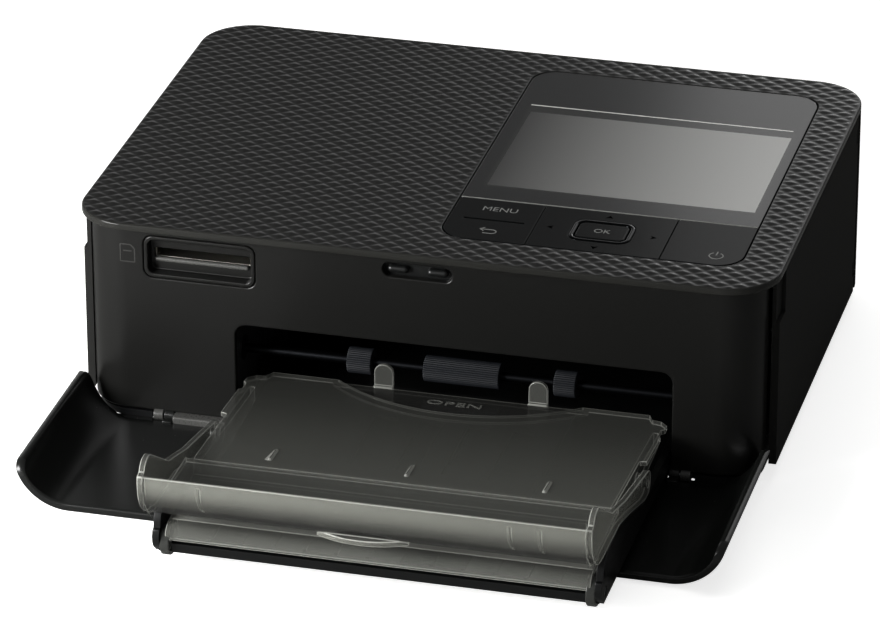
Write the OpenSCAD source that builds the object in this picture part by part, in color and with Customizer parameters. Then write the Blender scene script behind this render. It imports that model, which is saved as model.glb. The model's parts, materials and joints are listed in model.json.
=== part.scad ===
// Compact photo printer, with its paper cassette in place and its covers open.
// Millimetres. X runs to the right, Y to the back and Z up from the table.
// Pieces are drawn about the middle of the body, then moved by in_frame().

/* [Body] */
// Width of the body
body_w = 182.2; // [176:0.2:220]
// Depth of the body
body_d = 133; // [130:0.5:165]
// Height of the body above the table
body_h = 57.6; // [56.5:0.1:72]
// Plan radius of the body's corners
corner_r = 14.1; // [11:0.1:16]
// Wall of the side, rear and front covers
wall = 2; // [1.6:0.1:2.4]
// Thickness of the top cover at its rim
top_t = 1.9; // [1.7:0.1:2.4]
// Gap between neighbouring covers
seam = 0.3; // [0.2:0.05:0.5]
// Height of the rubber feet
foot_h = 1.5; // [1.2:0.1:2]
// Height of the covers' lower edge above the table
skirt_z = 4.3; // [4:0.1:4.8]
// Distance from the body's front to where the side covers start
cheek_y = 12.2; // [11:0.1:14]

/* [Front door] */
// Thickness of the front door
door_t = 2.2; // [1.8:0.1:2.4]
// Height of the hinge axis above the table
hinge_z = 3.2; // [3:0.1:3.4]
// Radius of the hinge knuckles
knuckle_r = 1.6; // [1.4:0.1:1.7]
// Radius of the steel hinge pins
pin_r = 0.75; // [0.6:0.05:0.9]

/* [Control panel] */
// Width of the glossy window
window_w = 77.7; // [70:0.1:84]
// Depth of the window and keys together
window_d = 108.4; // [100:0.1:112]
// Distance from the body's middle to the middle of the window
window_x = 41.3; // [39:0.1:46]
// Distance from the body's middle back to the middle of the window
window_y = 0.9; // [0:0.1:2]
// Corner radius of the window
window_r = 7; // [5:0.5:9]
// Depth of the band of keys
keys_d = 24.3; // [22:0.1:27]
// Gap round each key
key_gap = 0.25; // [0.2:0.05:0.4]
// Travel of the keys
key_travel = 0.5; // [0.3:0.1:0.7]

/* [Paper cassette] */
// Distance from the body's middle to the middle of the cassette
tray_x = 9; // [8:0.1:10]
// Width of the paper
paper_w = 100; // [95:1:104]
// Length of the paper
paper_l = 148; // [140:1:152]
// Outer width of the tray
tray_w = 113; // [110:0.5:116]
// Thickness of the tray's side walls
tray_wall = 1.8; // [1.5:0.1:2]
// Distance from the body's front to the tray's front end
tray_reach = 73; // [70:0.5:80]
// Height of the tray's underside above the table
tray_z = 4.7; // [4.5:0.1:5]
// Thickness of the translucent lids
lid_t = 1.3; // [1:0.1:1.6]
// Side clearance between the tray and its bay
bay_gap = 0.5; // [0.4:0.1:0.8]

/* [Rollers and gears] */
// Radius of the pick-up rollers
pickup_r = 3.4; // [3:0.1:3.6]
// Radius of the pick-up shaft
pickup_shaft_r = 1.25; // [1:0.05:1.5]
// Radius of the platen roller
platen_r = 7.9; // [7:0.1:8.2]
// Radius of the capstan roller
capstan_r = 3; // [2.5:0.1:3.2]
// Gear module
gear_m = 0.8; // [0.75:0.01:0.82]
// Face width of the gears
gear_w = 3.5; // [3:0.1:4]
// Radial running clearance of shafts
run_gap = 0.05; // [0.03:0.01:0.08]
// Thickness of the steel side plates
plate_t = 1.2; // [1:0.1:1.5]

/* [Hidden] */
$fn = 48;

// Places that many pieces share
body_front = -body_d/2;
body_back = body_d/2;
side_x = body_w/2;
cover_top = body_h - top_t - seam;        // upper edge of the side and front covers
rim_z = body_h - top_t;                   // underside of the top cover's rim
cheek_front = body_front + cheek_y;       // front edge of the side covers
panel_in = door_t + seam;                 // the front panel stands back by a closed door
panel_y = body_front + panel_in;          // face of the front panel
base_in = 3.5;                            // the base stands back under the covers
floor_top = foot_h + 1.8;
hinge_y = body_front + door_t + 0.7;      // axis of the front door

// The cassette bay
bay_w = tray_w + 2*bay_gap;
bay_x0 = tray_x - bay_w/2;
bay_x1 = tray_x + bay_w/2;
bay_top = 31.4;                           // upper edge of the paper opening
tray_x0 = tray_x - tray_w/2;
tray_x1 = tray_x + tray_w/2;
tray_front = body_front - tray_reach;
tray_back = tray_front + paper_l + 5;

// Chassis plates on both sides of the bay
left_plate = bay_x0 - 1.5 - plate_t;
right_plate = bay_x1 + 1.3;
gear_x = left_plate - 0.6 - gear_w;       // outer face of the gear train
bracket_x = gear_x - 0.8 - plate_t;
motor_l = 24;

// Shafts, as points (y, z)
pickup_at = [body_front + 14.5, 19.2];
capstan_at = [body_front + 68.5, 29];
platen_at = [body_front + 100.5, 24];
supply_at = platen_at + [20, 19.5];
takeup_at = platen_at + [-20, 19.5];
head_pivot_at = platen_at + [27.5, 26.2];

// Teeth of the gears
pickup_teeth = 16;
idler_teeth = 28;
capstan_teeth = 18;
pinion_teeth = 12;
mesh_gap = 0.06;                          // extra centre distance of each mesh
function pitch_r(teeth) = gear_m*teeth/2;
function mesh(a, b) = pitch_r(a) + pitch_r(b) + mesh_gap;
function heading(p, q) = atan2(q[1] - p[1], q[0] - p[0]);
// Point at distance a from p and b from q, to the left of the line from p to q
function meet(p, a, q, b) = let(d = norm(q - p), u = (q - p)/d, s = (a*a - b*b + d*d)/(2*d),
    h = sqrt(max(0, a*a - s*s))) p + s*u + h*[-u[1], u[0]];
// Turn of a gear at heading c from its neighbour, so that its gap meets the neighbour's tooth
function in_mesh(c, turn, a, b) = c + 180 - 180/b + (c - turn)*a/b;
idler_a_at = pickup_at + mesh(pickup_teeth, idler_teeth)*[cos(-5), sin(-5)];
idler_b_at = meet(idler_a_at, mesh(idler_teeth, idler_teeth), capstan_at, mesh(idler_teeth, capstan_teeth));
motor_at = idler_a_at + mesh(idler_teeth, pinion_teeth)*[0, 1];
ribbon_motor_at = takeup_at + mesh(capstan_teeth, pinion_teeth)*[1, 0];
idler_b_turn = in_mesh(heading(capstan_at, idler_b_at), 0, capstan_teeth, idler_teeth);
idler_a_turn = in_mesh(heading(idler_b_at, idler_a_at), idler_b_turn, idler_teeth, idler_teeth);
pickup_turn = in_mesh(heading(idler_a_at, pickup_at), idler_a_turn, idler_teeth, pickup_teeth);
pinion_turn = in_mesh(90, idler_a_turn, idler_teeth, pinion_teeth);
ribbon_turn = in_mesh(0, 0, capstan_teeth, pinion_teeth);

// Inside of the tray, and its lift plate's hinge as a point (y, z)
tray_floor = tray_z + 1.4;
lift_at = [tray_front + 41.5, tray_floor + 1.3];
lift_l = 55.5;
lift_half = 28;
lift_pin_r = 0.5;

// Lids of the cassette, as points (y, z)
lid_pivot = [tray_front + 4.3, tray_z + 2.5];
lid_rear = [pickup_at[0] - 3.2, 14.7];    // rear upper edge of the inner lid
lid_front = [tray_front + 27.5, 18.4];    // front upper edge of its sloping panel
arm_pivot = [tray_front + 51, 12.9];      // pivot of the outer lid
arm_end_r = 3.3;
arm_pin_r = 1;
lid_pin_r = 1.4;
lid_end_r = 3.9;
wall_low = 9.4;                           // top of the tray's walls at the back
wall_high = 17.3;                         // top of the tray's walls under the outer lid
scoop_r = 11;
scoop_at = [tray_front, wall_high + 0.6 + scoop_r];

// The whole outline, to stand the part over its frame's origin
scoop_front = scoop_at[0] - scoop_r;
frame_y = -(scoop_front + body_back)/2;

// Control panel
glass_x0 = window_x - window_w/2;
glass_x1 = window_x + window_w/2;
glass_y0 = window_y - window_d/2;
glass_y1 = window_y + window_d/2;
keys_y = glass_y0 + keys_d;               // seam between the window and the keys
menu_x1 = glass_x0 + 22.6;
power_x0 = glass_x1 - 20.5;
key_mid_y = glass_y0 + keys_d/2;
key_t = 1.4;
board_z = rim_z - 3.8;                    // underside of the key board
switch_top = board_z + 1.9;
stem_z = switch_top + key_travel + 0.2;   // lower end of the keys' stems
ledge_dip = 0.4;                          // the frame under the keys is lower by this

// Card slot and board
card_x = -57.2;
card_w = 29.4;
card_h = 11.5;
card_z = body_h - 9.6;
main_board_z = card_z - 3.8;

module in_frame() { translate([0, frame_y, 0]) children(); }
module box(low, high) { translate(low) cube(high - low); }
// A profile drawn in (x, y), (y, z) or (x, z) and carried between two places along the third axis
module rise(z0, z1) { translate([0, 0, z0]) linear_extrude(z1 - z0) children(); }
module across(x0, x1) { translate([x0, 0, 0]) rotate([90, 0, 90]) linear_extrude(x1 - x0) children(); }
module along(y0, y1) { translate([0, y1, 0]) rotate([90, 0, 0]) linear_extrude(y1 - y0) children(); }
// A round bar along X about the point at = (y, z)
module rod(x0, x1, at, r) { translate([x0, at[0], at[1]]) rotate([0, 90, 0]) cylinder(h = x1 - x0, r = r); }
// The same on one side of the tray, between two distances from its middle
module disc(side, d0, d1, at, r)
    { rod(tray_x + min(side*d0, side*d1), tray_x + max(side*d0, side*d1), at, r); }
module post(at, z0, z1, r) { translate([at[0], at[1], z0]) cylinder(h = z1 - z0, r = r); }

function arc(c, r, a0, a1, n = 10)
    = [for (i = [0:n]) c + r*[cos(a0 + (a1 - a0)*i/n), sin(a0 + (a1 - a0)*i/n)]];
function rounded(x0, y0, x1, y1, r)
    = concat(arc([x1 - r, y1 - r], r, 0, 90), arc([x0 + r, y1 - r], r, 90, 180),
    arc([x0 + r, y0 + r], r, 180, 270), arc([x1 - r, y0 + r], r, 270, 360));
// The body's outline, moved in by d
module outline(d) { polygon(rounded(d - side_x, body_front + d, side_x - d, body_back - d, corner_r - d)); }
module ring(d, t) { difference() { outline(d); outline(d + t); } }

// Outline of an involute gear with 20 degree flanks and a little backlash
function involute(base, a) = base*[cos(a) + a*PI/180*sin(a), sin(a) - a*PI/180*cos(a)];
function gear_points(teeth) =
    let(r = pitch_r(teeth), base = r*cos(20), root = r - 1.05*gear_m, tip = r + 0.85*gear_m,
        half = 90/teeth - 2.2/teeth, roll = sqrt(pow(r/base, 2) - 1)*180/PI, back = roll - 20,
        last = sqrt(pow(tip/base, 2) - 1)*180/PI,
            first = root > base ? sqrt(pow(root/base, 2) - 1)*180/PI : 0,
        flank = [for (i = [0:4]) involute(base, first + (last - first)*i/4)])
    [for (k = [0:teeth - 1]) let(mid = 360*k/teeth) each concat(
        [root*[cos(mid - half - back), sin(mid - half - back)]],
        [for (p = flank) turned(p, mid - half - back)],
        [for (i = [4:-1:0]) turned([flank[i][0], -flank[i][1]], mid + half + back)],
        [root*[cos(mid + half + back), sin(mid + half + back)]])];
function turned(p, a) = [p[0]*cos(a) - p[1]*sin(a), p[0]*sin(a) + p[1]*cos(a)];
module gear(teeth, at, turn, x0, x1, bore) {
    translate([x0, at[0], at[1]]) rotate([90, 0, 90]) difference() {
        linear_extrude(x1 - x0) rotate(turn) polygon(gear_points(teeth));
        translate([0, 0, -1]) cylinder(h = x1 - x0 + 2, r = bore);
    }
}

// ---- Casing ----

post_at = [[-side_x + 9, body_front + 16.5], [-side_x + 9, body_back - 15],
    [side_x - 10.5, body_front + 17],
    [side_x - 10.5, body_front + 61]];
foot_at = [[-side_x + 17, body_front + 13], [side_x - 17, body_front + 13], [-side_x + 17, body_back - 13],
    [side_x - 17, body_back - 13]];
foot_r = 5;
rim_top = 9;
screw_r = 1.25;

module bottom_case() color("#15161a") in_frame() difference() {
    union() {
        rise(foot_h, floor_top) outline(base_in);
        rise(foot_h, rim_top) intersection() {
            ring(panel_in + wall + seam, 1.6);
            translate([-side_x, body_front]) square([body_w, cheek_y + 4]);
        }
        rise(foot_h, rim_top) intersection() {
            ring(base_in, 1.6);
            translate([-side_x, cheek_front + 1]) square([body_w, body_d]);
        }
        for (p = post_at) post(p, foot_h, rim_top, 3.4);
    }
    // mouth for the cassette and notches for the door's knuckles
    box([bay_x0, body_front - 1, floor_top], [bay_x1, body_front + 20, rim_top + 1]);
    for (x = [[bay_x0 - 23, bay_x0 - 1], [bay_x1 - 1, bay_x1 + 6]])
        box([x[0], body_front, 0], [x[1], hinge_y + knuckle_r + 0.3, rim_top + 1]);
    for (p = foot_at) post(p, 0, foot_h + 0.6, foot_r + 0.1);
    for (p = post_at) {
        post(p, 0, rim_top + 1, screw_r + 0.15);
        post(p, 0, foot_h + 1.4, 2.6);
    }
    for (i = [0:7]) box([-40 + 12*i, 34, 0], [-33 + 12*i, 37, floor_top + 1]);
}

module rubber_feet() color("#1b1b1c") in_frame() for (p = foot_at) post(p, 0, foot_h + 0.6, foot_r);

module case_screws() color("#8d9094") in_frame() for (p = post_at) difference() {
    union() {
        post(p, foot_h + 1.4, rim_top + 9, screw_r);
        post(p, foot_h + 0.2, foot_h + 1.4, 2.4);
    }
    post(p, foot_h, foot_h + 0.9, 0.8);
}

module top_cover() color("#101112") in_frame() difference() {
    union() {
        rise(rim_z, body_h - 0.7) outline(0);
        hull() {
            rise(body_h - 0.8, body_h - 0.7) outline(0);
            rise(body_h - 0.1, body_h) outline(0.6);
        }
        difference() {
            rise(rim_z - 2.6, rim_z) ring(panel_in + wall + 0.2, 1.4);
            box([card_x - card_w/2 - 2, body_front, rim_z - 3], [latch_w/2 + 3, cheek_front, rim_z]);
        }
        // frame that carries the window and the keys
        rise(rim_z - 1.2, rim_z) polygon(rounded(glass_x0 - 2.5, glass_y0 - 2.5, glass_x1 + 2.5,
            glass_y1 + 2.5, window_r + 2));
        for (x = [glass_x0 + 1, glass_x1 - 1]) for (y = [keys_y - 13, keys_y - 4])
            post([x, y], board_z, rim_z, 2);
        for (p = post_at) post(p, rim_top, rim_z, 3);
    }
    rise(rim_z, body_h + 1) polygon(rounded(glass_x0 - 0.1, glass_y0 - 0.1, glass_x1 + 0.1,
        glass_y1 + 0.1, window_r));
    // the keys dip a little below the frame's top, and the display and the switches show through it
    rise(rim_z - ledge_dip, rim_z + 0.1) key_plate(glass_x0 - 1, glass_x1 + 1);
    box([menu_x1, glass_y0 - 0.1, rim_z - ledge_dip], [power_x0, keys_y + 0.15, rim_z + 0.1]);
    box([glass_x0 + 4, keys_y + 4, rim_z - 3], [glass_x1 - 4, glass_y1 - 23.8, rim_z + 1]);
    box([glass_x0 + 3.2, glass_y0 + 3.2, rim_z - 3], [glass_x1 - 3.2, keys_y - 0.6, rim_z + 1]);
    for (p = post_at) post(p, rim_top - 1, rim_top + 10, screw_r);
}

// Mouth of the paper opening and the small openings, seen from the front
module paper_mouth() { polygon(rounded(bay_x0, -6, bay_x1, bay_top, 3)); }
module card_mouth(grow) { polygon(rounded(card_x - card_w/2 - grow, card_z - card_h/2 - grow,
    card_x + card_w/2 + grow, card_z + card_h/2 + grow, 2.5)); }
latch_w = 18;
latch_h = 3.9;
latch_z = body_h - 5.9;
module latch_mouth(grow) { polygon(rounded(-latch_w/2 - grow, latch_z - latch_h/2 - grow, latch_w/2 + grow,
    latch_z + latch_h/2 + grow, latch_h/2 - 0.05)); }
knuckle_left = bay_x0 - 19.4;             // seam between the fixed and the moving knuckle
knuckle_right = bay_x1 + 2.5;

module front_panel() color("#0d0e0f") in_frame() {
    difference() {
        rise(skirt_z, cover_top) intersection() {
            ring(panel_in, wall);
            translate([-side_x, body_front]) square([body_w, cheek_y - seam]);
        }
        along(body_front - 1, body_front + 12) paper_mouth();
        along(body_front - 1, body_front + 12) card_mouth(0.1);
        along(body_front - 1, body_front + 12) latch_mouth(0);
        box([knuckle_left + 0.1, body_front, 0], [bay_x0 - 1.8, body_front + 12, skirt_z + 2.3]);
        box([knuckle_right - 3.1, body_front, 0], [knuckle_right - 0.1, body_front + 12, skirt_z + 1.2]);
        box([bay_x0 - 2, body_front, 0], [bay_x0 + 1, body_front + 12, skirt_z + 0.1]);
    }
    lugs(panel_in + wall - 0.1, seam + 0.1,
        [for (side = [-1, 1]) [side*(side_x - panel_in), cheek_front - 3]]);
    // fixed knuckles of the door's hinge
    for (x = [knuckle_left - 2.7, knuckle_right + 0.1]) difference() {
        union() {
            rod(x, x + 2.6, [hinge_y, hinge_z], knuckle_r);
            box([x, hinge_y, hinge_z], [x + 2.6, panel_y + wall, skirt_z + 0.6]);
        }
        rod(x - 1, x + 4, [hinge_y, hinge_z], pin_r);
    }
}

notch_z = body_h - 13.6;
module cheek(side) {
    // plain side cover from the given y to the rear corner, with the finger notch of the front edge
    difference() {
        children();
        box([side*(side_x + 1) - 2, cheek_front - 1, notch_z],
            [side*(side_x + 1) + 2, cheek_front + 7, cover_top + 1]);
    }
}

// Small lugs between a cover's wall, d in from the body's outline, and the rim of the base
module lugs(d, t, places) rise(rim_top - 2, rim_top - 0.4) intersection() {
    ring(d, t);
    for (p = places) translate(p) square(5, center = true);
}

module left_side_panel() color("#0f1011") in_frame() difference() {
    union() {
        cheek(-1) rise(skirt_z, cover_top) intersection() {
            ring(0, wall);
            translate([-side_x - 1, cheek_front]) square([corner_r + 1, body_d]);
        }
        lugs(wall - 0.1, base_in - wall + 0.1, [for (y = [-30, 10, 40]) [-side_x + wall, y]]);
    }
    for (i = [0:11]) box([-side_x - 1, 20 + 2.6*i, 18], [-side_x + wall + 1, 21.2 + 2.6*i, 44]);
}

door_axis = [side_x - 1.8, body_back - corner_r - 2];
barrel_r = 1.75;
barrel_z = [rim_top + 4.5, body_h - 9.6];
knuckle_z = [[rim_top + 0.5, barrel_z[0] - 0.3], [barrel_z[1] + 0.3, body_h - 5.6]];

module right_side_panel() color("#0f1011") in_frame() {
    rise(skirt_z, cover_top) intersection() {
        ring(0, wall);
        translate([side_x - corner_r, door_axis[1] + 2]) square([corner_r + 1, body_d]);
    }
    lugs(wall - 0.1, base_in - wall + 0.1, [[side_x - 5, body_back - 5]]);
    for (z = knuckle_z) difference() {
        union() {
            post(door_axis, z[0], z[1], barrel_r);
            box([door_axis[0] - 2.8, door_axis[1], z[0]], [door_axis[0], door_axis[1] + 5, z[1]]);
        }
        post(door_axis, z[0] - 1, z[1] + 1, pin_r);
    }
}

module ink_door() color("#0f1011") in_frame() cheek(1) difference() {
    union() {
        box([side_x - wall, cheek_front, skirt_z], [side_x, door_axis[1], cover_top]);
        post(door_axis, barrel_z[0], barrel_z[1], barrel_r);
    }
    for (z = knuckle_z) box([door_axis[0] - 3, door_axis[1] - 2.2, z[0] - 0.3],
        [side_x + 1, door_axis[1] + 3, z[1] + 0.3]);
    post(door_axis, 0, body_h, pin_r + run_gap);
}

module ink_door_pins() color("#9a9da1") in_frame()
    for (z = [[knuckle_z[0][0] + 0.4, barrel_z[0] + 5], [barrel_z[1] - 5, knuckle_z[1][1] - 0.4]])
        post(door_axis, z[0], z[1], pin_r);

// Ports of the rear
dc_x = -69.5;
dc_z = 16;
usb_x = -57.5;
module rear_panel() color("#0f1011") in_frame() difference() {
    union() {
        rise(skirt_z, cover_top) intersection() {
            ring(0, wall);
            translate([-side_x + corner_r + seam, 0]) square([body_w - 2*corner_r - 2*seam, body_d]);
        }
        lugs(wall - 0.1, base_in - wall + 0.1, [for (x = [-60, 0, 60]) [x, body_back - wall]]);
    }
    // paper passes in and out here while it is printed
    along(body_back - 5, body_back + 1)
        polygon(rounded(tray_x - paper_w/2 - 3, 29, tray_x + paper_w/2 + 3, 35, 1.5));
    translate([dc_x, body_back + 1, dc_z]) rotate([90, 0, 0]) cylinder(h = 6, r = 4.1);
    box([usb_x - 5.1, body_back - 4, dc_z - 2.1], [usb_x + 5.1, body_back + 1, dc_z + 2.1]);
    for (i = [0:15]) box([-22 + 5*i, body_back - 4, 42], [-18.8 + 5*i, body_back + 1, 49]);
}

module dc_inlet() color("#242528") in_frame() difference() {
    union() {
        translate([dc_x, body_back - 0.3, dc_z]) rotate([90, 0, 0]) cylinder(h = 4, r = 4);
        box([dc_x - 5.5, body_back - wall - 11, rim_top], [dc_x + 5.5, body_back - wall, dc_z + 5]);
    }
    translate([dc_x, body_back + 1, dc_z]) rotate([90, 0, 0]) difference() {
        cylinder(h = 11, r = 2.75);
        cylinder(h = 11, r = 0.8);
    }
}

module data_port() color("#9fa2a6") in_frame() difference() {
    union() {
        box([usb_x - 5, body_back - wall - 7, dc_z - 2], [usb_x + 5, body_back - 0.4, dc_z + 2]);
        box([usb_x - 5.2, body_back - wall - 7, floor_top],
            [usb_x + 5.2, body_back - wall - 5.8, dc_z + 3]);
    }
    along(body_back - 7, body_back + 1)
        polygon(rounded(usb_x - 4.2, dc_z - 1.3, usb_x + 4.2, dc_z + 1.3, 1.25));
}

// ---- Front door ----

door_back = hinge_y - 2.7;
door_edge = hinge_y - (cover_top - hinge_z);
curl_top = door_t + 0.3 + 9.9;
door_low = hinge_z - (hinge_y - body_front);
function door_profile() = let(c = corner_r + door_low, a = asin((c - curl_top)/corner_r))
    concat(arc([-side_x + corner_r, c], corner_r, 180 + a, 270),
        arc([side_x - corner_r, c], corner_r, 270, 360 - a),
    arc([side_x - corner_r, c], corner_r - door_t, 360 - a, 270),
        arc([-side_x + corner_r, c], corner_r - door_t, 270, 180 + a));

module front_door() color("#0c0d0e") in_frame() {
    intersection() {
        along(door_edge, door_back) polygon(door_profile());
        across(-side_x - 1, side_x + 1) polygon(concat([[door_back + 1, -1], [door_back + 1, 40]],
            arc([door_edge + 4, curl_top - 4], 4, 90, 180), [[door_edge, -1]]));
    }
    // moving knuckles, their arms and the rib beside the left one
    for (x = [knuckle_left + 0.2, knuckle_right - 2.8]) difference() {
        union() {
            rod(x, x + 2.6, [hinge_y, hinge_z], knuckle_r);
            box([x, door_back - 1, door_low + 0.6], [x + 2.6, hinge_y, hinge_z]);
        }
        rod(x - 1, x + 4, [hinge_y, hinge_z], pin_r + run_gap);
    }
    difference() {
        box([knuckle_left + 2.8, door_back - 1, door_low + 0.6],
            [bay_x0 - 2.2, hinge_y + 1, hinge_z + 1.1]);
        box([knuckle_left, hinge_y - 0.8, 0], [bay_x0 - 3.4, hinge_y + 2, hinge_z - 0.8]);
    }
}

module door_hinge_pins() color("#a4a7ab") in_frame()
    for (x = [[knuckle_left - 2.5, knuckle_left + 2.7], [knuckle_right - 2.7, knuckle_right + 2.5]])
        rod(x[0], x[1], [hinge_y, hinge_z], pin_r);

module door_catch() color("#2b2d30") in_frame() {
    along(panel_y + wall, panel_y + wall + 2) latch_mouth(1.5);
    for (x = [-5.2, 5.2]) translate([x, panel_y + wall + 0.2, latch_z]) rotate([90, 0, 0])
        cylinder(h = 1.6, r = 1.4);
    box([-3.4, panel_y + 0.9, latch_z - 0.5], [3.4, panel_y + wall + 0.2, latch_z + 0.5]);
}

module card_slot_bezel() color("#131415") in_frame() difference() {
    union() {
        along(panel_y, panel_y + 4) card_mouth(0);
        along(panel_y + wall, panel_y + 4) card_mouth(1.2);
    }
    along(panel_y - 1, panel_y + 3) polygon(rounded(card_x - card_w/2 + 1.1, card_z - card_h/2 + 1.1,
        card_x + card_w/2 - 1.1, card_z + card_h/2 - 1.1, 1.6));
    box([card_x - 12.6, panel_y - 1, card_z - 1.3], [card_x + 12.6, panel_y + 5, card_z + 1.3]);
}

module card_connector() color("#a8abb0") in_frame() difference() {
    box([card_x - 14, panel_y + 4, main_board_z + 1.6], [card_x + 14, panel_y + 27, card_z + 2.2]);
    box([card_x - 12.3, panel_y + 3, card_z - 1.2], [card_x + 12.3, panel_y + 24, card_z + 1.2]);
}

// ---- Control panel ----

module control_window() color("#0a0b0c") in_frame() rise(rim_z, body_h) intersection() {
    polygon(rounded(glass_x0, glass_y0, glass_x1, glass_y1, window_r));
    translate([glass_x0 - 1, keys_y + key_gap/2]) square([window_w + 2, window_d]);
}

module lcd_module() color("#2a2d31") in_frame() {
    box([glass_x0 + 4.2, keys_y + 4.2, rim_z - 3], [glass_x1 - 4.2, glass_y1 - 24, rim_z]);
    box([glass_x0 + 20, keys_y + 8, rim_z - 3.6], [glass_x0 + 36, keys_y + 16, rim_z - 3]);
}

// Outline of a key between two places along X
module key_plate(x0, x1) { intersection() {
    polygon(rounded(glass_x0, glass_y0, glass_x1, glass_y1, window_r));
    translate([x0, glass_y0 - 1]) square([x1 - x0, keys_d + 1 - key_gap/2]);
} }

module menu_key() color("#0c0d0e") in_frame() difference() {
    union() {
        rise(body_h - key_t, body_h) key_plate(glass_x0 + 0.05, menu_x1 - key_gap/2);
        for (y = [key_mid_y - 6, key_mid_y + 6]) post([glass_x0 + 12, y], stem_z, body_h - key_t, 1.3);
    }
    box([glass_x0 + 3.8, key_mid_y - 0.4, body_h - 0.35], [menu_x1 - 2.8, key_mid_y + 0.4, body_h + 1]);
}

nav_mid = [(menu_x1 + power_x0)/2, key_mid_y];
ok_w = 13;
ok_d = 9.4;
ok_r = 1.8;
ok_frame = 1.5;
function ok_outline(grow) = rounded(nav_mid[0] - ok_w/2 - grow, nav_mid[1] - ok_d/2 - grow,
    nav_mid[0] + ok_w/2 + grow, nav_mid[1] + ok_d/2 + grow, ok_r + grow);

module key_gimbal() color("#3a3c40") in_frame() difference() {
    rise(stem_z, stem_z + 0.6) polygon(rounded(nav_mid[0] - 15, nav_mid[1] - 8.4, nav_mid[0] + 15,
        nav_mid[1] + 8.4, 2));
    rise(board_z, body_h) polygon(ok_outline(-0.8));
}

module navigation_key() color("#0c0d0e") in_frame() difference() {
    union() {
        rise(body_h - key_t, body_h) key_plate(menu_x1 + key_gap/2, power_x0 - key_gap/2);
        for (x = [nav_mid[0] - 12, nav_mid[0] + 12])
            post([x, nav_mid[1]], stem_z + 0.9, body_h - key_t, 1.2);
    }
    rise(body_h - key_t - 1, body_h + 1) polygon(ok_outline(ok_frame));
    // four pressed marks, one for each way
    for (a = [0:90:270]) translate([nav_mid[0], nav_mid[1], body_h - 0.2]) rotate(a)
        translate([a % 180 == 0 ? 13.3 : 9.4, 0, 0]) cylinder(h = 1, r = 0.5);
}

module ok_ring() color("#8a8e94") in_frame() rise(body_h - key_t, body_h + 0.25) difference() {
    polygon(ok_outline(ok_frame));
    polygon(ok_outline(0.2));
}

module ok_key() color("#0c0d0e") in_frame() {
    rise(body_h - key_t, body_h + 0.1) polygon(ok_outline(0));
    post(nav_mid, stem_z, body_h - key_t, 1.5);
}

module power_key() color("#0c0d0e") in_frame() {
    rise(body_h - key_t, body_h) key_plate(power_x0 + key_gap/2, glass_x1 - 0.05);
    post([power_x0 + 12, key_mid_y], stem_z, body_h - key_t, 1.5);
}

module key_board() color("#1f5a3c") in_frame() {
    box([glass_x0 + 3.4, glass_y0 + 3.4, board_z], [glass_x1 - 5.2, keys_y - 0.8, board_z + 1]);
    for (p = [[glass_x0 + 12, key_mid_y - 6], [glass_x0 + 12, key_mid_y + 6], nav_mid,
        [power_x0 + 12, key_mid_y]]) post(p, board_z + 1, switch_top, 2.4);
    for (x = [glass_x0 + 1, glass_x1 - 1])
        box([x - 4.6, keys_y - 16, board_z - 1], [x + 4.6, keys_y - 0.8, board_z]);
}

// ---- Electronics ----

module main_board() color("#1d5b3a") in_frame() {
    box([card_x - 16.8, panel_y + 4.5, main_board_z], [-12, panel_y + 60, main_board_z + 1.6]);
    for (p = [[-38, 28.5, 14, 14, 1.4], [-48, 52.5, 9, 8, 1.2], [-62, 50.5, 12, 7, 2],
        [-20, 26.5, 6, 10, 2.4]])
        translate([0, body_front, 0])
            box([p[0], p[1], main_board_z + 1.6], [p[0] + p[2], p[1] + p[3], main_board_z + 1.6 + p[4]]);
}

module wireless_module() color("#b9bcc0") in_frame()
    box([-30, panel_y + 42, main_board_z + 1.6], [-16, panel_y + 56, main_board_z + 3.8]);

// ---- Chassis ----

chassis_back = body_back - wall - 0.5;
chassis_high = rim_z - 3.5;
shaft_r = 2;
bearing_r = 3.4;

// Side plate seen from the left, in (y, z)
module plate_outline() {
    polygon([[pickup_at[0] - 5, floor_top], [chassis_back - 4, floor_top],
        [chassis_back - 4, rim_top + 0.3],
        [chassis_back, rim_top + 0.3], [chassis_back, chassis_high], [body_front + 64, chassis_high],
        [body_front + 62.8, main_board_z], [pickup_at[0] - 5, main_board_z]]);
}
module shaft_holes(x) {
    for (p = [pickup_at, capstan_at, platen_at]) rod(x - 1, x + plate_t + 1, p, bearing_r);
    rod(x - 1, x + plate_t + 1, pinch_at, pinch_axle_r + run_gap);
    rod(x - 1, x + plate_t + 1, head_pivot_at, head_pivot_r);
}

module chassis_left() color("#b4b7ba") in_frame() difference() {
    across(left_plate, left_plate + plate_t) plate_outline();
    shaft_holes(left_plate);
    rod(left_plate - 1, left_plate + 3, takeup_at, 4);
    rod(left_plate - 1, left_plate + 3, supply_at, 4);
    for (p = [idler_a_at, idler_b_at]) rod(left_plate - 1, left_plate + 3, p, 1.5);
}

module chassis_right() color("#b4b7ba") in_frame() difference() {
    across(right_plate, right_plate + plate_t) plate_outline();
    shaft_holes(right_plate);
    // the ink cassette goes in through this window
    for (p = [takeup_at, supply_at]) rod(right_plate - 1, right_plate + 3, p, spool_tube_r + 0.5);
    box([right_plate - 1, takeup_at[0], takeup_at[1] - 3.5],
        [right_plate + 3, supply_at[0], takeup_at[1] + 3.5]);
}

module chassis_bridges() color("#a9acb0") in_frame() {
    for (p = [[pickup_at[0] - 5, 38], [body_front + 30, 38]])
        box([left_plate + plate_t, p[0], p[1]], [right_plate, p[0] + 9, p[1] + 1.2]);
    box([left_plate + plate_t, body_front + 80, floor_top],
        [right_plate, body_front + 84, floor_top + 0.9]);
}

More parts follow.
